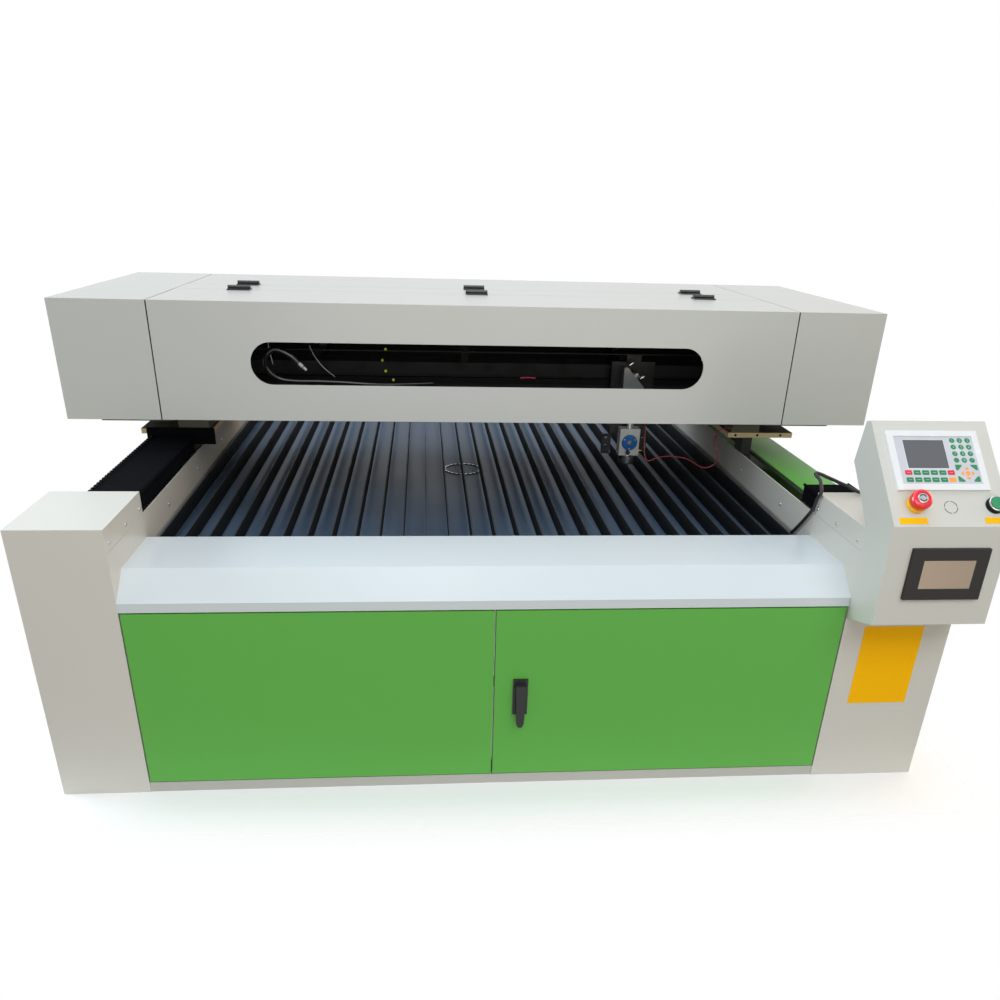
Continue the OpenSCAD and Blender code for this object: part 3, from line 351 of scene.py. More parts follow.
# Recipe, name, the CAD nodes that wear it, screen colour, then the recipe's own numbers.
PALETTE = (
    (sprayed, "cream_paint", "pedestal_right bed_walls", (203, 201, 194)),
    (sprayed, "gantry_paint", "pedestal_left rear_housing", (205, 203, 196), 0.4),
    (sprayed, "sill_paint", "base_frame", (180, 179, 174), 0.42),
    # The hood wears a darker copy of the pedestals' cream paint: painted shade on the gantry's faces.
    (sprayed, "hood_paint",
     "end_cap_left end_cap_right cover_spine front_cover rear_cover",
     (186, 187, 183), 0.34, 0.5, 0.00005, SHADED_HOLLOW),
    (sprayed, "console_paint", "console_housing", (200, 200, 193), 0.42, 0.15, 0.00008),
    (sprayed, "shelf_paint", "front_shelf", (204, 212, 216), 0.26, 0.45, 0.00004),
    (sprayed, "green_paint", "side_panels door_left door_right", (86, 169, 62), 0.38),
    (banded_shade, "foot_paint", "gantry_feet", OLIVE, *FOOT_SHADE_BANDS),
    (sooty, "tray_paint", "waste_tray", (80, 98, 120), srgb(96, 114, 134), 0.3),
    (sooty, "comb_steel", "strip_supports", (20, 23, 26), srgb(34, 38, 41), 0.4),
    (striped, "strip_steel", "cutting_strips", (13, 15, 18), srgb(64, 70, 76), STRIPS_TOP),
    (brushed, "rail_steel", "linear_rails", (150, 152, 154), 0.26, (1, 0.02, 1)),
    # Painted shade: the beam and the cross rail are near black, so the gantry's inside behind the window
    # reads as shadow.
    (brushed, "beam_aluminium", "gantry_beam", (3, 3, 4), 0.7, (0.02, 1, 1), 0.0),
    (brushed, "dull_rail", "cross_rail", (16, 17, 18), 0.4, (0.02, 1, 1), 0.8),
    (brushed, "carriage_steel", "bearing_blocks carriages", (128, 131, 134), 0.34, (1, 0.05, 1)),
    (brushed, "bright_steel", "drive_shaft lens_tube", (178, 181, 184), 0.24, (0.05, 1, 1)),
    (brushed, "zinc",
     "door_hinge_pins panel_screws handle_cam front_idlers head_drive_pulley head_idler",
     (190, 192, 190), 0.3, (0.4, 1, 1)),
    (brushed, "chrome", "", (214, 216, 218), 0.12, (1, 1, 0.2)),
    (brushed, "brass", "", (188, 150, 78), 0.3, (1, 1, 0.1)),
    (brushed, "bracket_grey", "mirror_bracket", (146, 149, 151), 0.4, (1, 1, 0.05), 0.7),
    (sprayed, "head_grey", "head_body", (184, 187, 186), 0.4),
    (brushed, "anodised_blue", "", (38, 96, 160), 0.3, (1, 1, 1), 0.85),
    (brushed, "plate_black",
     "button_collar optic_mounts head_carriage", (17, 18, 19), 0.42, (1, 1, 0.05), 0.3),
    (moulded, "motor_black", "drive_motor head_motor", (28, 29, 31), 0.5),
    (moulded, "black_plastic",
     "handle_base handle_lever hinge_leaves_fixed hinge_leaves_front hinge_leaves_rear",
     (22, 24, 27), 0.4, 0.2),
    (moulded, "panel_black", "touch_panel_frame", (14, 12, 10), 0.5),
    (moulded, "controller_white", "controller_frame", (224, 226, 228), 0.34, 0.2),
    (moulded, "membrane", "", (196, 198, 206), 0.4),
    (moulded, "key_green", "controller_keys", (16, 128, 78), 0.34, 0.2),
    (moulded, "key_red", "", (214, 30, 62), 0.34, 0.2),
    (moulded, "key_orange", "", (248, 156, 62), 0.34, 0.2),
    (plain_field, "legend_white", "", (238, 240, 240)),
    (moulded, "stop_red", "estop_head", (224, 16, 40), 0.26, 0.4),
    (moulded, "stop_yellow", "estop_base", (246, 184, 32), 0.32, 0.3),
    (moulded, "start_green", "start_button", (24, 140, 88), 0.22, 0.6),
    (plain_field, "label_field", "blank_labels", (252, 188, 0)),
    (two_screens, "screens", "display_glass", (84, 86, 92), srgb(176, 156, 134), RIGHT_HIGH.z + 0.03),
    (woven, "bellows_cloth", "bellows_front_left bellows_front_right bellows_rear", (8, 10, 14)),
    (toothed, "belt_rubber", "drive_belts head_belt", (24, 24, 25), 0.005),
    (moulded, "cable_rubber", "bed_cable", (30, 31, 33), 0.5, 0.0, 500.0),
    (moulded, "wire_red", "pointer_wire", (150, 34, 42), 0.4, 0.2),
    (glazed, "tube_glass", "laser_tube", (180, 200, 208), 0.06),
    (moulded, "hose_black", "", (20, 21, 22), 0.32, 0.3),
    (glazed, "hose_clear", "", (93, 99, 99), 0.2),
    (plain_field, "signal_dot", "", (196, 206, 60)),
)
FINISHES = {}


# ---- Surfaces ----

MERGE = 1e-6
SHARP = math.radians(35)


def placed(name, data):
    """A new object in the scene."""
    made = bpy.data.objects.new(name, data)
    bpy.context.scene.collection.objects.link(made)
    return made


def square_to(axis):
    """Two unit directions square to an axis and to each other."""
    axis = np.array(axis, float) / np.linalg.norm(axis)
    side = np.cross(axis, (0, 0, 1) if abs(axis[2]) < 0.9 else (1, 0, 0))
    side /= np.linalg.norm(side)
    return axis, side, np.cross(axis, side)


def smooth_path(points, step):
    """A Catmull-Rom curve through given points, sampled about every step metres."""
    p = np.array(points, float)
    ends = np.vstack([2 * p[0] - p[1], p, 2 * p[-1] - p[-2]])
    out = []
    for i in range(len(p) - 1):
        a, b, c, d = ends[i:i + 4]
        count = max(1, int(np.linalg.norm(c - b) / step))
        t = (np.arange(count) / count)[:, None]
        out.append(0.5 * (2 * b + (c - a) * t + (2 * a - 5 * b + 4 * c - d) * t**2
                          + (3 * b - a - 3 * c + d) * t**3))
    return np.vstack(out + [p[-1:]])


def way(points, step=0.004):
    """A smooth path through places given in millimetres."""
    return smooth_path([at_front(*p) for p in points], step)


def outline(width, height, corner, arc=6):
    """A rectangle with round corners about its middle: four quarter circles in turn."""
    t = np.linspace(0, math.pi / 2, arc)
    quarters = []
    for k, (sx, sy) in enumerate([(1, 1), (-1, 1), (-1, -1), (1, -1)]):
        centre = np.array([sx * (width / 2 - corner), sy * (height / 2 - corner)])
        a = t + k * math.pi / 2
        quarters.append(centre + corner * np.stack([np.cos(a), np.sin(a)], axis=1))
    return np.vstack(quarters)


class Piece:
    """Closed surfaces gathered into one mesh; each shape is added and gives the piece back."""

    def __init__(self, name):
        self.name = name
        self.points = []
        self.faces = []
        self.count = 0

    def grid(self, points, caps=True):
        """A surface through points[u, v], closed round v; the first and last rings are capped."""
        points = np.array(points)
        rows, columns = points.shape[:2]
        index = self.count + np.arange(rows * columns).reshape(rows, columns)
        ring = np.hstack([index, index[:, :1]])
        quads = np.stack([ring[:-1, :-1], ring[1:, :-1], ring[1:, 1:], ring[:-1, 1:]], axis=-1)
        self.points.append(points.reshape(-1, 3))
        self.faces.extend(quads.reshape(-1, 4).tolist())
        if caps:
            self.faces.extend([index[0].tolist(), index[-1].tolist()])
        self.count += rows * columns
        return self

    def turned(self, profile, centre, axis, sides=32):
        """(radius, height) pairs carried round an axis: centre + h axis + r (cos t side + sin t up)."""
        axis, side, up = square_to(axis)
        profile = np.array(profile, float)
        t = np.arange(sides) * 2 * math.pi / sides
        spoke = np.cos(t)[:, None] * side + np.sin(t)[:, None] * up
        points = np.array(centre) + profile[:, 1, None, None] * axis + profile[:, 0, None, None] * spoke
        return self.grid(points, caps=False)

    def button(self, radius, height, centre, axis, bevel=0.0004, sides=32):
        """A closed disc with a bevelled rim, as a turned profile."""
        profile = [(0, 0), (radius, 0), (radius, height - bevel), (radius - bevel, height), (0, height)]
        return self.turned(profile, centre, axis, sides)

    def knurled(self, radius, height, centre, axis):
        """A thumb screw: a turned profile with a waist under its rim."""
        share = [(0, 0), (0.55, 0), (0.55, 0.3), (1, 0.34), (1, 0.92), (0.9, 1), (0, 1)]
        return self.turned([(radius * r, height * h) for r, h in share], centre, axis, 20)

    def tube(self, path, radius, sides=12):
        """A circle carried along a path, its frame turned as little as possible from ring to ring."""
        path = np.array(path, float)
        tangent = np.gradient(path, axis=0)
        tangent /= np.linalg.norm(tangent, axis=1)[:, None]
        side = square_to(tangent[0])[1]
        t = np.arange(sides) * 2 * math.pi / sides
        rings = []
        for here, along in zip(path, tangent):
            side = side - along * np.dot(side, along)
            side /= np.linalg.norm(side)
            up = np.cross(along, side)
            rings.append(here + radius * (np.cos(t)[:, None] * side + np.sin(t)[:, None] * up))
        return self.grid(rings)

    def plate(self, size, thick, corner, bevel, origin, across=RIGHTWARD, up=UPWARD):
        """A bevelled plate, size (width, height): its outline at four heights, drawn in at both faces."""
        origin, across, up = (np.array(v, float) for v in (origin, across, up))
        out = np.cross(across, up)
        width, height = size
        full = outline(width, height, corner)
        tight = outline(width - 2 * bevel, height - 2 * bevel, max(corner - bevel, bevel / 2))
        rings = [(tight, 0), (full, bevel), (full, thick - bevel), (tight, thick)]
        return self.grid([origin + ring[:, :1] * across + ring[:, 1:] * up + h * out for ring, h in rings])

    def make(self, finish, body=None, slot=None):
        """The mesh object, with faces outward and edges over SHARP kept; the slot argument is not used."""
        mesh = bpy.data.meshes.new(self.name)
        mesh.from_pydata(np.vstack(self.points).tolist(), [], self.faces)
        shell = bmesh.new()
        shell.from_mesh(mesh)
        bmesh.ops.remove_doubles(shell, verts=shell.verts, dist=MERGE)
        bmesh.ops.recalc_face_normals(shell, faces=shell.faces)
        shell.to_mesh(mesh)
        shell.free()
        mesh.shade_smooth()
        mesh.set_sharp_from_angle(angle=SHARP)
        mesh.materials.append(FINISHES[finish])
        made = placed(self.name, mesh)
        if body:
            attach(made, body)
        return made


class Face:
    """A flat face of the console: places across, up and out of it, in millimetres."""

    def __init__(self, corner, rise, run):
        turn = math.atan2(rise, run)
        self.corner = np.array(at_front(*corner))
        self.across = np.array((1.0, 0.0, 0.0))
        self.up = np.array((0.0, math.cos(turn), math.sin(turn)))
        self.out = np.array((0.0, -math.sin(turn), math.cos(turn)))

    def at(self, across, up, out=0.0):
        return self.corner + (across * self.across + up * self.up + out * self.out) / 1000

    def plate(self, piece, middle, size, base, thick, corner=1.0, bevel=0.2):
        size = [side / 1000 for side in size]
        rest = (thick / 1000, corner / 1000, bevel / 1000)
        return piece.plate(size, *rest, self.at(*middle, base), self.across, self.up)

    def prism(self, piece, shape, middle, base, thick):
        """A flat outline raised off the face, its top ring drawn in a little towards the middle."""
        shape = np.array(shape, float)
        centre = shape.mean(axis=0)
        tight = centre + (shape - centre) * 0.9
        rings = [(shape, base), (shape, base + thick * 0.6), (tight, base + thick)]
        return piece.grid([[self.at(middle[0] + x, middle[1] + y, h) for x, y in ring] for ring, h in rings])

    def turned(self, piece, profile, middle, base=0.0, sides=32):
        return piece.turned(np.array(profile, float) / 1000, self.at(*middle, base), self.out, sides)

    def arcs(self, piece, middle, radius, starts, sweep, out, thick):
        """Strands that follow parts of a circle from each start angle, in degrees."""
        for start in starts:
            turn = np.radians(np.linspace(start, start + sweep, 14))
            ring = zip(middle[0] + radius * np.cos(turn), middle[1] + radius * np.sin(turn))
            piece.tube([self.at(x, y, out) for x, y in ring], thick, 8)
        return piece


SLOPE = Face((750, -97, 649), 163, 172)


# ---- Settings ----

def length(name, note, default, low, high):
    """A length setting in metres."""
    return FloatProperty(name=name, description=note, default=default, min=low, max=high, unit="LENGTH")


def count(name, note, default, low, high):
    """A setting in whole numbers."""
    return IntProperty(name=name, description=note, default=default, min=low, max=high)


def power(name, note, default):
    """A lamp's power setting."""
    return FloatProperty(name=name, description=note, default=default, min=0.0, unit="POWER")


class CordSettings(PropertyGroup):
    """Sizes of the two cords."""

    cable: length("Cable diameter", "Outside diameter of the cable into the bed", 0.008, 0.004, 0.012)
    wire: length("Wire diameter", "Outside diameter of the pointer's thin wire", 0.003, 0.002, 0.005)


class BellowsSettings(PropertyGroup):
    """Pleats of the covers over the channels."""

    left_folds: count("Left folds", "Pleats of the front cover on the left", 28, 12, 60)
    right_folds: count("Right folds", "Pleats of the folded front cover on the right", 12, 6, 24)
    rear_folds: count("Rear folds", "Pleats of each cover behind the gantry", 90, 40, 180)
    depth: length("Pleat depth", "How far each valley lies below the crests", 0.006, 0.002, 0.012)


class HeadSettings(PropertyGroup):
    """Small parts on the laser head."""

    disc: length("Disc radius", "Radius of the blue lens ring on the head's front", 0.022, 0.015, 0.026)
    knob: length("Knob radius", "Radius of the black clamping knob", 0.006, 0.004, 0.008)
    adjuster: length("Adjuster radius", "Radius of the knurled mirror adjusters", 0.0042, 0.003, 0.006)


class WindowSettings(PropertyGroup):
    """Hoses and wiring behind the window."""

    hose: length("Hose radius", "Radius of the curled cooling hose", 0.0065, 0.004, 0.01)
    dot: length("Dot radius", "Radius of the pale signal dots", 0.0035, 0.002, 0.006)


class ConsoleSettings(PropertyGroup):
    """Keys and rings of the console."""

    key_rise: length("Key height", "Height of the key caps over the membrane", 0.0008, 0.0003, 0.0015)
    legend: length("Legend width", "Width of the strokes printed on the keys", 0.0005, 0.0002, 0.001)
    ring: length("Ring width", "Width of the bright ring round the start button", 0.0028, 0.001, 0.003)


class BedSettings(PropertyGroup):
    """Fine parts in and beside the bed."""

    outlet: length("Outlet rim radius", "Outside radius of the suction outlet's rim", 0.06, 0.05, 0.07)
    slots: count("Outlet slots", "Dark slots round the outlet's rim", 24, 8, 48)
    screw_pitch: length("Screw pitch", "Distance between the screws of the rails", 0.06, 0.04, 0.12)


class StageSettings(PropertyGroup):
    """Light and floor round the machine."""

    key: power("Key lamp", "Power of the large lamp above", 108.0)
    fill: power("Fill lamp", "Power of the lamp low in front", 32.0)
    front: power("Front lamp", "Power of the lamp high in front", 80.0)
    warm: power("Warm lamp", "Power of the warm lamp on the right", 62.0)
    cool: power("Cool lamp", "Power of the cool lamp on the left", 112.0)
    sky: FloatProperty(name="Surround", description="Strength of the soft light from all sides",
                       default=0.35, min=0.0)
    floor: FloatVectorProperty(name="Floor colour", description="Colour of the pale floor",
                               default=(0.93, 0.93, 0.93), subtype="COLOR", min=0.0, max=1.0)


GROUPS = {
    "engraver_cords": CordSettings, "engraver_bellows": BellowsSettings, "engraver_head": HeadSettings,
    "engraver_window": WindowSettings, "engraver_console": ConsoleSettings, "engraver_bed": BedSettings,
    "engraver_stage": StageSettings,
}


# ---- Finishes on the carried-over nodes ----

FOLDS = {
    0.0006: "button_collar mirror_bracket",
    0.0008: "estop_head start_button",
    0.001: "head_body gantry_feet carriages",
    0.0012: "controller_frame handle_base",
    0.0014: "touch_panel_frame",
    0.0015: "handle_lever drive_motor head_motor",
    0.002: "end_cap_left end_cap_right",
    0.0022: "pedestal_left pedestal_right door_left door_right front_cover rear_cover",
    0.0025: "front_shelf rear_housing",
    0.004: "console_housing",
}


class Step:
    """What every step shares: it builds its pieces from the settings that have its name."""

    def execute(self, context):
        self.build(getattr(context.scene, type(self).bl_idname.replace(".", "_"), None))
        return {"FINISHED"}


class ENGRAVER_OT_finishes(Step, Operator):
    """Give every CAD node its finish, and its folded edges their bend"""

    bl_idname = "engraver.finishes"
    bl_label = "Finishes"

    def build(self, sizes):
        for recipe, finish, nodes, colour, *rest in PALETTE:
            FINISHES[finish] = recipe(finish, srgb(*colour), *rest)
            for name in nodes.split():
                materials = NODES[name].data.materials
                materials.clear()
                materials.append(FINISHES[finish])
        for width, nodes in FOLDS.items():
            for name in nodes.split():
                bend = NODES[name].modifiers.new("Bend", "BEVEL")
                bend.width, bend.segments = width, 3
                bend.limit_method = "ANGLE"
                bend.angle_limit = math.radians(30)
                bend.use_clamp_overlap = True
                bend.harden_normals = True


# ---- Cords ----

CABLE = [
    (880, 86, 697.3), (880, 97, 686), (879, 110, 674), (877, 124, 660), (874, 138, 645),
    (870, 155, 631), (864, 175, 621), (856, 197, 616), (846, 216, 615), (835, 229, 616),
    (824, 240, 620), (813, 246, 625), (802, 249, 629), (790, 251, 634), (778, 251, 639),
    (766, 250, 644), (757, 249, 648), (748, 248, 651), (742, 247, 653), (738, 245, 652),
    (739, 241, 648.5), (743, 235, 644.5), (745, 228.5, 640), (744.5, 222, 634), (744.5, 216, 627),
    (744, 211.6, 619), (743, 214.5, 609.5), (742, 221, 600.5), (742, 223.5, 591), (742, 227, 581),
    (742, 234, 570), (742, 243, 559), (742, 255, 546), (742, 268, 532), (742, 282, 518),
    (742, 296, 504.5), (742, 310, 491.5), (742, 323, 478.5), (742, 333, 465), (742, 338, 450),
    (742, 338, 438), (742, 338, 430.3),
]
WIRE = [
    (480, 816.7, 630), (480, 807, 628), (479, 797, 618), (478, 789, 600), (478, 783, 578),
    (479, 779, 556), (483, 776, 539), (492, 774, 531), (504, 772, 536), (520, 770, 543),
    (545, 769, 546), (572, 768, 545), (596, 766, 541), (618, 764, 531), (638, 762, 520),
    (656, 760, 516), (672, 758, 521), (684, 756, 532), (688, 755, 547), (684, 753, 562),
    (676, 752, 578), (670, 750, 595), (669, 747, 611), (672, 744, 623), (681, 741, 631),
    (693, 739, 635), (705, 739, 636), (714, 742, 636), (719, 749.3, 636),
]


class ENGRAVER_OT_cords(Step, Operator):
    """Lay the bed cable and the pointer's wire along their ways"""

    bl_idname = "engraver.cords"
    bl_label = "Cords"

    def build(self, sizes):
        path = way(CABLE)
        cable = Piece("BedCable").tube(path, sizes.cable / 2, 16).make("cable_rubber", "base", "black_rubber")
        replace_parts(cable, "bed_cable")
        path = way(WIRE)
        wire = Piece("PointerWire").tube(path, sizes.wire / 2, 10).make("wire_red")
        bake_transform(wire)
        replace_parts(wire, "pointer_wire")


# ---- Bellows ----

PLEAT_PHASE = np.array([0.0, 0.4, 0.5, 0.6])
PLEAT_SHARE = np.array([0.0, 0.92, 1.0, 0.92])
CLOTH_CORNER = 0.004
CLOTH_TOP = 0.605
CHANNEL = 0.116
FLANGE_AT = (-788, 749.5, 601)
FOOT_SCREWS = (0.7265, 0.789, 0.856)


def pleats(piece, node, folds, depth, side=0):
    """A pleated box in its node's place: each ring along y is drawn in by depth (1 - s), s = 1 on crests.

    With a side, the box is only the channel's width at that side of the node.
    """
    low, high = (np.array(v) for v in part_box(node))
    if side > 0:
        low[0] = high[0] - CHANNEL
    if side < 0:
        high[0] = low[0] + CHANNEL
    high[2] = min(high[2], CLOTH_TOP)
    y = np.append((np.arange(folds)[:, None] + PLEAT_PHASE).ravel(), folds) / folds
    y = low[1] + 0.0002 + y * (high[1] - low[1] - 0.0004)
    deep = depth * (1 - np.append(np.tile(PLEAT_SHARE, folds), 0.0))
    ring = []
    for sx, sz in [(1, 1), (-1, 1), (-1, -1), (1, -1)]:
        corner = [(CLOTH_CORNER, 0.0), (0.0, CLOTH_CORNER)]
        for cx, cz in corner if sx == sz else reversed(corner):
            x = (high[0] - deep - cx) if sx > 0 else (low[0] + deep + cx)
            z = (high[2] - deep - cz) if sz > 0 else np.full_like(deep, low[2] + cz * 0.2)
            ring.append(np.stack([x, y, z], axis=1))
    return piece.grid(np.array(ring).transpose(1, 0, 2))


class ENGRAVER_OT_bellows(Step, Operator):
    """Pleat the covers over both channels, stretching from the base to the gantry"""

    bl_idname = "engraver.bellows"
    bl_label = "Bellows"

    def build(self, sizes):
        left, right, rear = "bellows_front_left", "bellows_front_right", "bellows_rear"
        made = pleats(Piece("BellowsFrontLeft"), left, sizes.left_folds, sizes.depth).make("bellows_cloth")
        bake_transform(made)
        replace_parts(made, left)
        # The bellows' black end flange in front of the foot bar: partly a real part, partly painted shade
        # that darkens the zone under the hood.
        flange_shade = Piece("BellowsFlangeShade").plate((0.176, 0.044), 0.003, 0.003, 0.0004, at_front(*FLANGE_AT))
        flange_shade.make("bellows_cloth", "gantry")
        screws = Piece("FootScrews")
        for side in (-1, 1):
            for x in FOOT_SCREWS:
                place = (side * x, FEET_FRONT, FEET_BAR + 0.007)
                screws.button(0.0035, 0.0009, place, FORWARD, 0.0002, 12)
        screws.make("plate_black", "gantry", "dark_steel")
        piece = pleats(Piece("BellowsFrontRight"), right, sizes.right_folds, sizes.depth * 0.8)
        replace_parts(piece.make("bellows_cloth", "base"), right)
        piece = Piece("BellowsRear")
        for side in (-1, 1):
            pleats(piece, rear, sizes.rear_folds, sizes.depth, side)
        made = piece.make("bellows_cloth")
        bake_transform(made)
        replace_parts(made, rear)


# ---- Laser head ----

HEAD_FRONT = 781
LENS_UP = 582
RING_SCREW_ANGLES = (-90, 30, 150)
BODY_SCREWS = ((-20, 612), (20, 612), (-20, 552), (20, 552))
ADJUSTERS = ((-66, 804, 594), (-66, 804, 572), (-54, 804, 551), (41, 806, 592), (41, 806, 574))


def head_at(x, y, z):
    """A place beside the head's middle, in millimetres, with y from the base's front."""
    return np.array(at_front(HEAD_X * 1000 + x, y, z))


class ENGRAVER_OT_head(Step, Operator):
    """Add the blue lens ring, screws, knob, mirror adjusters and air fitting to the head"""

    bl_idname = "engraver.head"
    bl_label = "Laser head"

    def build(self, sizes):
        rim = sizes.disc
        hub = rim * 0.28
        bore = hub - 0.0001
        lens = head_at(0, HEAD_FRONT, LENS_UP)
        profile = [(hub, 0), (rim, 0), (rim, 0.0022), (rim - 0.0008, 0.003), (hub + 0.0006, 0.003),
                   (hub, 0.0024), (hub, 0)]
        ring = Piece("LensRing").turned(profile, lens, FORWARD, 48)
        ring.make("anodised_blue", "head", "head_grey")
        profile = [(0, 0), (bore, 0), (bore, 0.0016), (hub * 0.5, 0.0016), (hub * 0.42, 0.0006), (0, 0.0006)]
        Piece("LensHub").turned(profile, lens, FORWARD).make("carriage_steel", "head", "bright_steel")
        screws = Piece("LensRingScrews")
        out = rim * 0.78 * 1000
        for angle in RING_SCREW_ANGLES:
            a = math.radians(angle)
            place = head_at(out * math.cos(a), HEAD_FRONT, LENS_UP + out * math.sin(a))
            screws.button(0.0022, 0.0044, place, FORWARD, 0.0006, 16)
        for x, z in BODY_SCREWS:
            screws.button(0.0016, 0.0012, head_at(x, HEAD_FRONT, z), FORWARD, 0.0004, 12)
        screws.make("zinc", "head", "zinc_screws")
        knob = Piece("ClampKnob").knurled(sizes.knob, 0.012, head_at(-4, HEAD_FRONT, 555), FORWARD)
        knob.make("black_plastic", "head")
        profile = [(0, 0), (0.0045, 0), (0.0045, 0.005), (0.003, 0.006), (0.003, 0.011), (0, 0.011)]
        fitting = Piece("AirFitting").turned(profile, head_at(28, 795, 556), RIGHTWARD, 12)
        fitting.make("brass", "head", "bright_steel")
        mount = Piece("SideMount").plate((0.026, 0.056), 0.008, 0.003, 0.0008, head_at(-62, 812, 572))
        mount.plate((0.02, 0.05), 0.008, 0.003, 0.0008, head_at(44, 814, 573))
        mount.make("plate_black", "head", "motor_black")
        adjusters = Piece("MirrorAdjusters")
        for place in ADJUSTERS:
            adjusters.knurled(sizes.adjuster, 0.014, head_at(*place), FORWARD)
        adjusters.make("chrome", "head", "bright_steel")


# ---- Behind the window ----

HOSE = [
    (-447, 640, 808), (-470, 636, 831), (-505, 636, 845), (-527, 640, 830), (-534, 650, 805),
    (-521, 655, 782), (-498, 660, 768), (-460, 660, 764), (-409, 660, 764), (-345, 660, 762),
    (-288, 664, 758), (-237, 680, 754), (-180, 700, 752), (-120, 720, 751),
]
THIN_TUBES = [
    [(-522, 640, 862), (-520, 640, 845), (-517, 640, 826), (-514, 641, 808)],
    [(-424, 655, 852), (-416, 656, 832), (-403, 658, 811), (-388, 659, 794), (-366, 660, 776)],
]
DOTS = [(-239, 700, 839), (-240, 700, 785), (-221, 700, 763), (-248, 700, 812)]
SLEEVE = [(120, 806, 752), (140, 806, 753), (162, 806, 752)]
MIRROR_AT, MIRROR_NORMAL = (9.2, 800, 767.2), (0.735, 0.0, 0.678)
MIRROR_SCREWS = ((-18, 790, 792), (16, 790, 756))


class ENGRAVER_OT_window(Step, Operator):
    """Add the hose, thin tubes, signal dots and mirror adjusters seen through the window"""

    bl_idname = "engraver.window"
    bl_label = "Window"

    def build(self, sizes):
        hose = Piece("CooledHose").tube(way(HOSE, 0.006), sizes.hose)
        hose.make("hose_black", "gantry", "black_rubber")
        profile = [(0, 0), (0.009, 0), (0.009, 0.012), (0.0075, 0.014), (0.0075, 0.024), (0, 0.024)]
        end = at_front(*HOSE[0]) - Vector((0.004, 0, -0.004))
        fitting = Piece("HoseFitting").turned(profile, end, (0.7, 0.1, -0.7), 18)
        fitting.make("carriage_steel", "gantry", "bright_steel")
        thin = Piece("ThinTubes")
        for points in THIN_TUBES:
            thin.tube(way(points), 0.0014, 8)
        thin.make("hose_clear", "gantry", "bright_steel")
        dots = Piece("SignalDots")
        for place in DOTS:
            dots.button(sizes.dot, 0.002, at_front(*place), FORWARD, 0.0005, 16)
        dots.make("signal_dot", "gantry", "label_yellow")
        Piece("RedSleeve").tube(way(SLEEVE, 0.005), 0.0024, 10).make("key_red", "gantry", "wire_red")
        mirror = Piece("MirrorScrews")
        for place in MIRROR_SCREWS:
            mirror.knurled(0.0046, 0.013, head_at(*place), MIRROR_NORMAL)
        mirror.make("chrome", "head", "bright_steel")
        face = Piece("MirrorFace").button(0.0105, 0.0015, head_at(*MIRROR_AT), MIRROR_NORMAL, sides=28)
        face.make("brass", "head", "bright_steel")


# ---- Console ----

STROKES = {
    "0": [(0.5, 1.6), (0.1, 1.2), (0.1, 0.4), (0.5, 0), (0.9, 0.4), (0.9, 1.2), (0.5, 1.6)],
    "1": [(0.2, 1.3), (0.55, 1.6), (0.55, 0)],
    "2": [(0.05, 1.25), (0.35, 1.6), (0.85, 1.5), (0.9, 1.1), (0.05, 0), (1, 0)],
    "3": [(0.05, 1.6), (0.95, 1.6), (0.45, 0.95), (0.95, 0.6), (0.7, 0.05), (0.05, 0.1)],
    "4": [(0.75, 0), (0.75, 1.6), (0, 0.45), (1, 0.45)],
    "5": [(0.95, 1.6), (0.15, 1.6), (0.1, 0.9), (0.75, 0.95), (0.95, 0.45), (0.65, 0), (0.05, 0.05)],
    "6": [(0.85, 1.55), (0.15, 0.8), (0.15, 0.25), (0.5, 0), (0.9, 0.3), (0.8, 0.8), (0.2, 0.8)],
    "7": [(0.05, 1.6), (0.95, 1.6), (0.4, 0)],
    "8": [(0.5, 0.85), (0.15, 1.25), (0.5, 1.6), (0.85, 1.25), (0.5, 0.85), (0.1, 0.4), (0.5, 0),
          (0.9, 0.4), (0.5, 0.85)],
    "9": [(0.8, 0.8), (0.2, 0.8), (0.1, 1.3), (0.5, 1.6), (0.85, 1.35), (0.85, 0.8), (0.2, 0.05)],
    "-": [(0.1, 0.8), (0.9, 0.8)],
    ".": [(0.45, 0.1), (0.55, 0.1)],
}
NUMBER_KEYS = [".0-", "789", "456", "123"]
NUMBER_AT, NUMBER_PITCH = (155.5, 144.0), (16.1, 15.0)
ROW_AT, ROW_PITCH = (50.5, 100.0), (17.5, 16.0)
ROW_FINISHES = {(5, 0): "key_orange", (0, 1): "key_red", (5, 1): "key_red"}
ARROWS_AT = (172.3, 114.8)
ARROW_KEY = ((14.5, 0), (8.6, 5), (8.6, -5))
CORNER_KEY = ((7, 6), (7, -6), (3, -6), (-6, 3), (-6, 6))
STOP_AT, KNOCK_OUT_AT, START_AT = (52, 47), (123, 42), (212, 45)
START_RADIUS = 13.2
CONTROLLER = (21.0, 77.0, 189.0, 134.0)
CONTROLLER_RIM = 13.3
MEMBRANE, KEY_BASE = 4.0, 4.15


def membrane():
    """Four thin plates that leave the display free inside the controller's rim."""
    piece = Piece("Membrane")
    x, up, width, height = CONTROLLER
    rim = CONTROLLER_RIM
    left, right, low, high = x + rim, x + width - rim, up + rim, up + height - rim
    lcd_left, lcd_right, lcd_low, lcd_high = x + 31, x + 117, up + 48, up + 114
    for x0, x1, z0, z1 in (
        (left, lcd_left, low, high), (lcd_right, right, low, high),
        (lcd_left, lcd_right, low, lcd_low), (lcd_left, lcd_right, lcd_high, high),
    ):
        SLOPE.plate(piece, ((x0 + x1) / 2, (z0 + z1) / 2), (x1 - x0, z1 - z0), MEMBRANE, 0.15, 0.05, 0.02)
    return piece


def key_middle(at, pitch, column, row):
    """The middle of one key in a field that starts at a place and has a pitch."""
    return at[0] + pitch[0] * column, at[1] + pitch[1] * row


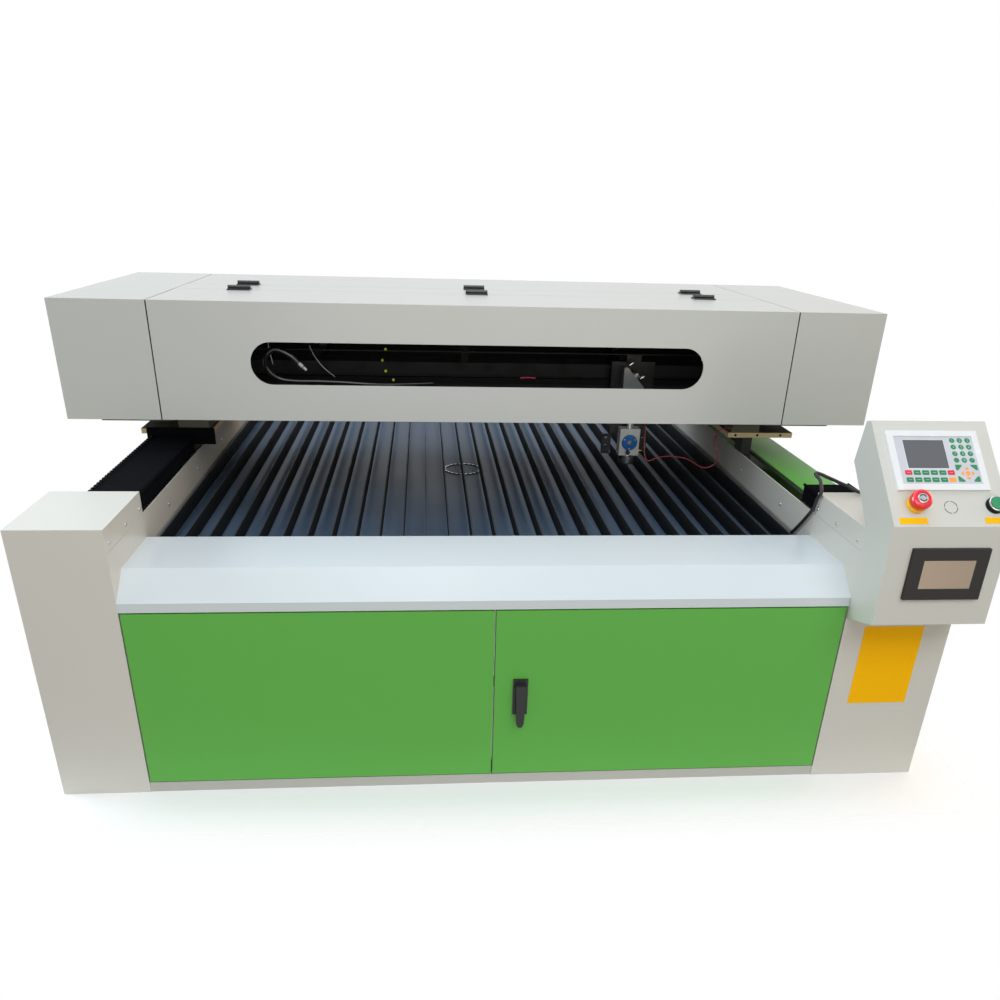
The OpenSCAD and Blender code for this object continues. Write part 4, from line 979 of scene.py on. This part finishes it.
def key_caps(rise, stroke):
    """Domed, oblong and arrow caps by finish, and the marks on them."""
    names = {"key_green": "KeysGreen", "key_red": "KeysRed", "key_orange": "KeysOrange"}
    caps = {finish: Piece(name) for finish, name in names.items()}
    legends = Piece("KeyLegends")

    def write(middle, marks):
        line = [SLOPE.at(middle[0] + x, middle[1] + y, KEY_BASE + rise) for x, y in marks]
        legends.tube(line, stroke, 6)

    dome = [(0, 0), (5.6, 0), (5.6, rise * 0.45), (5.2, rise * 0.8), (3.4, rise), (0, rise * 1.06)]
    for row, marks in enumerate(NUMBER_KEYS):
        for column, mark in enumerate(marks):
            middle = key_middle(NUMBER_AT, NUMBER_PITCH, column, row)
            SLOPE.turned(caps["key_green"], dome, middle, KEY_BASE)
            write(middle, [(3.2 * (u - 0.5), 3.2 * (v - 0.8)) for u, v in STROKES[mark]])
    for row in range(2):
        for column in range(6):
            finish = ROW_FINISHES.get((column, row), "key_green")
            middle = key_middle(ROW_AT, ROW_PITCH, column, row)
            SLOPE.plate(caps[finish], middle, (14, 10), KEY_BASE, rise, 1.2, 0.25)
            if finish != "key_orange":
                write(middle, [(-3.6, 0), (3.6, 0)])
    for sx in (-1, 1):
        for sy in (-1, 1):
            middle = (ARROWS_AT[0] + 15.5 * sx, ARROWS_AT[1] + 13 * sy)
            shape = [(x * sx, y * sy) for x, y in CORNER_KEY]
            SLOPE.prism(caps["key_green"], shape, middle, KEY_BASE, rise)
    for quarter in range(4):
        c, s = math.cos(quarter * math.pi / 2), math.sin(quarter * math.pi / 2)
        shape = [(x * c - y * s, x * s + y * c) for x, y in ARROW_KEY]
        SLOPE.prism(caps["key_orange"], shape, ARROWS_AT, KEY_BASE, rise)
    knob = [(0, 0), (5.2, 0), (5.2, rise * 0.5), (4.6, rise), (0, rise)]
    SLOPE.turned(caps["key_orange"], knob, ARROWS_AT, KEY_BASE)
    return caps, legends


class ENGRAVER_OT_console(Step, Operator):
    """Put key caps, plain numbers, the stop head's metal centre and the start ring on the console"""

    bl_idname = "engraver.console"
    bl_label = "Console"

    def build(self, sizes):
        caps, legends = key_caps(sizes.key_rise * 1000, sizes.legend / 2)
        slots = {"key_green": "key_green", "key_red": "stop_red", "key_orange": "label_yellow"}
        for finish, piece in caps.items():
            made = piece.make(finish, "base", slots[finish])
            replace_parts(made, "controller_keys")
        legends.make("legend_white", "base", "white_plastic")
        membrane().make("membrane", "base", "white_plastic")
        profile = [(0, 0), (10.6, 0), (10.6, 0.5), (10, 1.0), (0, 1.0)]
        centre = SLOPE.turned(Piece("StopCentre"), profile, STOP_AT, 28.5, 40)
        centre.make("chrome", "stop_button", "chrome_ring")
        arrows = SLOPE.arcs(Piece("StopArrows"), STOP_AT, 6.6, (20, 200), 130, 29.5, 0.0011)
        arrows.make("black_plastic", "stop_button")
        gap = SLOPE.arcs(Piece("KnockOutGap"), KNOCK_OUT_AT, 13.1, (8, 100, 190, 282), 74, 0.1, 0.0006)
        gap.make("black_plastic", "base")
        inner, outer = START_RADIUS, START_RADIUS + sizes.ring * 1000
        profile = [(inner, 0), (outer, 0), (outer, 1.4), (outer - 0.7, 2.0), (inner + 0.5, 2.0),
                   (inner, 1.6), (inner, 0)]
        ring = SLOPE.turned(Piece("StartRing"), profile, START_AT, 10, 48)
        ring.make("chrome", "base", "chrome_ring")


# ---- Bed and channels ----

OUTLET_AT, OUTLET_BAND = (-25, 1030, 430), 0.008
DASH_UP = Vector((0, 0, 0.0024))
RAIL_END, RAIL_EDGE = 0.02, 0.0075


class ENGRAVER_OT_bed(Step, Operator):
    """Add the outlet's rim with its slots and the rails' screws"""

    bl_idname = "engraver.bed"
    bl_label = "Bed"

    def build(self, sizes):
        outlet = at_front(*OUTLET_AT)
        outer, inner = sizes.outlet, sizes.outlet - OUTLET_BAND
        profile = [(inner, 0), (outer, 0), (outer, 0.0018), (outer - 0.0008, 0.0025),
                   (inner + 0.0008, 0.0025), (inner, 0.0018), (inner, 0)]
        Piece("OutletRim").turned(profile, outlet, UPWARD, 64).make("bright_steel", "base")
        dashes = Piece("OutletSlots")
        for k in range(sizes.slots):
            a = 2 * math.pi * k / sizes.slots
            out = Vector((math.cos(a), math.sin(a), 0))
            along = (-math.sin(a), math.cos(a), 0)
            place = outlet + DASH_UP + out * (outer - OUTLET_BAND / 2)
            dashes.plate((0.007, 0.003), 0.0006, 0.0008, 0.0001, place, along, -out)
        dashes.make("black_plastic", "base", "dark_steel")
        caps = Piece("RailScrews")
        low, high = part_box("linear_rails")
        rows = int((high.y - low.y - 2 * RAIL_END) / sizes.screw_pitch) + 1
        for side in (-1, 1):
            for k in range(rows):
                place = (side * (high.x - RAIL_EDGE), low.y + RAIL_END + k * sizes.screw_pitch, high.z)
                caps.button(0.0035, 0.00015, place, UPWARD, 0.00005, 10)
        caps.make("plate_black", "base", "black_rubber")


# ---- Stage ----

EYE = (-0.14067, -3.50911, 1.19268)
YAW, PITCH, ROLL = (math.radians(a) for a in (5.266, 26.244, -1.708))
LENS_MM, SENSOR_MM = 30.966, 36.0
SHIFT_X, SHIFT_Y = 0.0017, 0.1217
FOOTPRINT = (1.0, 1.98)
FLOOR_REACH, FLOOR_GAP = 60.0, 0.0005


def camera_matrix():
    """The camera's turn and place: looks along yaw and pitch, then leans by roll."""
    ahead = Vector((math.sin(YAW) * math.cos(PITCH), math.cos(YAW) * math.cos(PITCH), -math.sin(PITCH)))
    level = Vector((math.cos(YAW), -math.sin(YAW), 0.0))
    below = ahead.cross(level)
    right = math.cos(ROLL) * level + math.sin(ROLL) * below
    down = -math.sin(ROLL) * level + math.cos(ROLL) * below
    return Matrix.Translation(EYE) @ Matrix((right, -down, -ahead)).transposed().to_4x4()


def lamp(name, power, size, place, target, colour):
    """A square area lamp that faces a point."""
    data = bpy.data.lights.new(name, "AREA")
    data.energy = power
    data.shape = "RECTANGLE"
    data.size, data.size_y = size
    data.color = colour
    made = placed(name, data)
    made.location = place
    made.rotation_euler = (Vector(target) - Vector(place)).to_track_quat("-Z", "Y").to_euler()


def surround(strength):
    """White to the camera and nearly so to reflections; else a soft room: cool above, warm below."""
    world = bpy.data.worlds.new("Surround")
    world.use_nodes = True
    bpy.context.scene.world = world
    g = Graph(world.node_tree)
    g.tree.nodes.clear()
    up = g.node("SeparateXYZ", values={0: g.node("TexCoord", output="Generated")}, output=2)
    ramp = g.node("ValToRGB", values={0: g.node("MapRange", values={0: up, 1: -1.0, 2: 1.0})})
    stops = ramp.socket.node.color_ramp.elements
    stops[0].position, stops[0].color = 0.3, (0.62, 0.52, 0.40, 1)
    stops[1].position, stops[1].color = 0.85, (0.80, 0.92, 1.0, 1)
    stops.new(0.52).color = (0.80, 0.76, 0.68, 1)
    room = g.node("Background", values={0: ramp, 1: strength})
    white = g.node("Background", values={0: (1, 1, 1, 1), 1: 1.0})
    seen = g.node("LightPath", output="Is Camera Ray")
    mirrored = g.node("LightPath", output="Is Glossy Ray")
    both = g.node("MixShader", values={0: mirrored * 0.66 + seen, 1: room, 2: white})
    g.node("OutputWorld", values={0: both})


def floor_finish(colour):
    """A pale matt floor that fades into the white surround with the way past the footprint."""
    f = Finish("floor")
    past = [(abs(f.along(axis)) - reach).at_least(0.0) for axis, reach in enumerate(FOOTPRINT)]
    f.drive(Alpha=f.step((past[0] ** 2.0 + past[1] ** 2.0) ** 0.5, 0.2, -0.1))
    f.fixed(Base_Color=(*colour, 1), Roughness=0.7)
    return f.material


class ENGRAVER_OT_stage(Step, Operator):
    """Set the camera, the lamps, the surround and the floor"""

    bl_idname = "engraver.stage"
    bl_label = "Stage"

    def build(self, sizes):
        scene = bpy.context.scene
        data = bpy.data.cameras.new("Camera")
        data.sensor_width, data.lens = SENSOR_MM, LENS_MM
        data.shift_x, data.shift_y = SHIFT_X, SHIFT_Y
        data.clip_start = 0.05
        camera = placed("Camera", data)
        camera.matrix_world = camera_matrix()
        scene.camera = camera
        scene.view_settings.view_transform = "Standard"
        surround(sizes.sky)
        lamp("KeyLamp", sizes.key, (4.0, 5.0), (0.2, 0.2, 3.6), (0.0, 0.0, 0.5), (0.92, 0.96, 1.0))
        lamp("FrontLamp", sizes.front, (4.0, 1.6), (0.5, -4.6, 3.3), (0.0, -1.8, 0.4), (0.93, 0.96, 1.0))
        lamp("FillLamp", sizes.fill, (3.0, 2.0), (0.4, -5.0, 1.0), (0.0, -1.6, 0.5), (1.0, 0.94, 0.84))
        lamp("WarmLamp", sizes.warm, (3.0, 1.2), (3.4, -0.6, 1.5), (-0.75, -0.9, 0.45), (1.0, 0.67, 0.36))
        lamp("CoolLamp", sizes.cool, (3.0, 1.2), (-3.4, -0.8, 1.6), (0.9, -1.5, 0.45), (0.80, 0.93, 1.0))
        ground = bpy.data.meshes.new("Floor")
        corners_xy = [(-1, -1), (1, -1), (1, 1), (-1, 1)]
        ground.from_pydata([(FLOOR_REACH * x, FLOOR_REACH * y, 0) for x, y in corners_xy], [], [(0, 1, 2, 3)])
        ground.materials.append(floor_finish(tuple(sizes.floor)))
        floor = placed("Floor", ground)
        floor.location.z = CAD_BOX[0][2] - FLOOR_GAP


# ---- Panel and run ----

OPERATORS = (
    ENGRAVER_OT_finishes, ENGRAVER_OT_stage, ENGRAVER_OT_cords, ENGRAVER_OT_bellows,
    ENGRAVER_OT_head, ENGRAVER_OT_window, ENGRAVER_OT_console, ENGRAVER_OT_bed,
)


class ENGRAVER_PT_panel(Panel):
    """Settings and steps of the engraver's looks"""

    bl_idname = "ENGRAVER_PT_panel"
    bl_label = "Flatbed laser engraver"
    bl_space_type = "VIEW_3D"
    bl_region_type = "UI"
    bl_category = "Engraver"

    def draw(self, context):
        for group in GROUPS:
            box = self.layout.box()
            settings = getattr(context.scene, group)
            for name in settings.__annotations__:
                box.prop(settings, name)
        for step in OPERATORS:
            self.layout.operator(step.bl_idname)


def register():
    for made in (*GROUPS.values(), *OPERATORS, ENGRAVER_PT_panel):
        bpy.utils.register_class(made)
    for name, group in GROUPS.items():
        setattr(bpy.types.Scene, name, PointerProperty(type=group))


def unregister():
    for name in GROUPS:
        delattr(bpy.types.Scene, name)
    for made in reversed((*GROUPS.values(), *OPERATORS, ENGRAVER_PT_panel)):
        bpy.utils.unregister_class(made)


def main():
    register()
    for step in OPERATORS:
        getattr(bpy.ops.engraver, step.bl_idname.split(".")[1])()


if __name__ == "__main__":
    main()
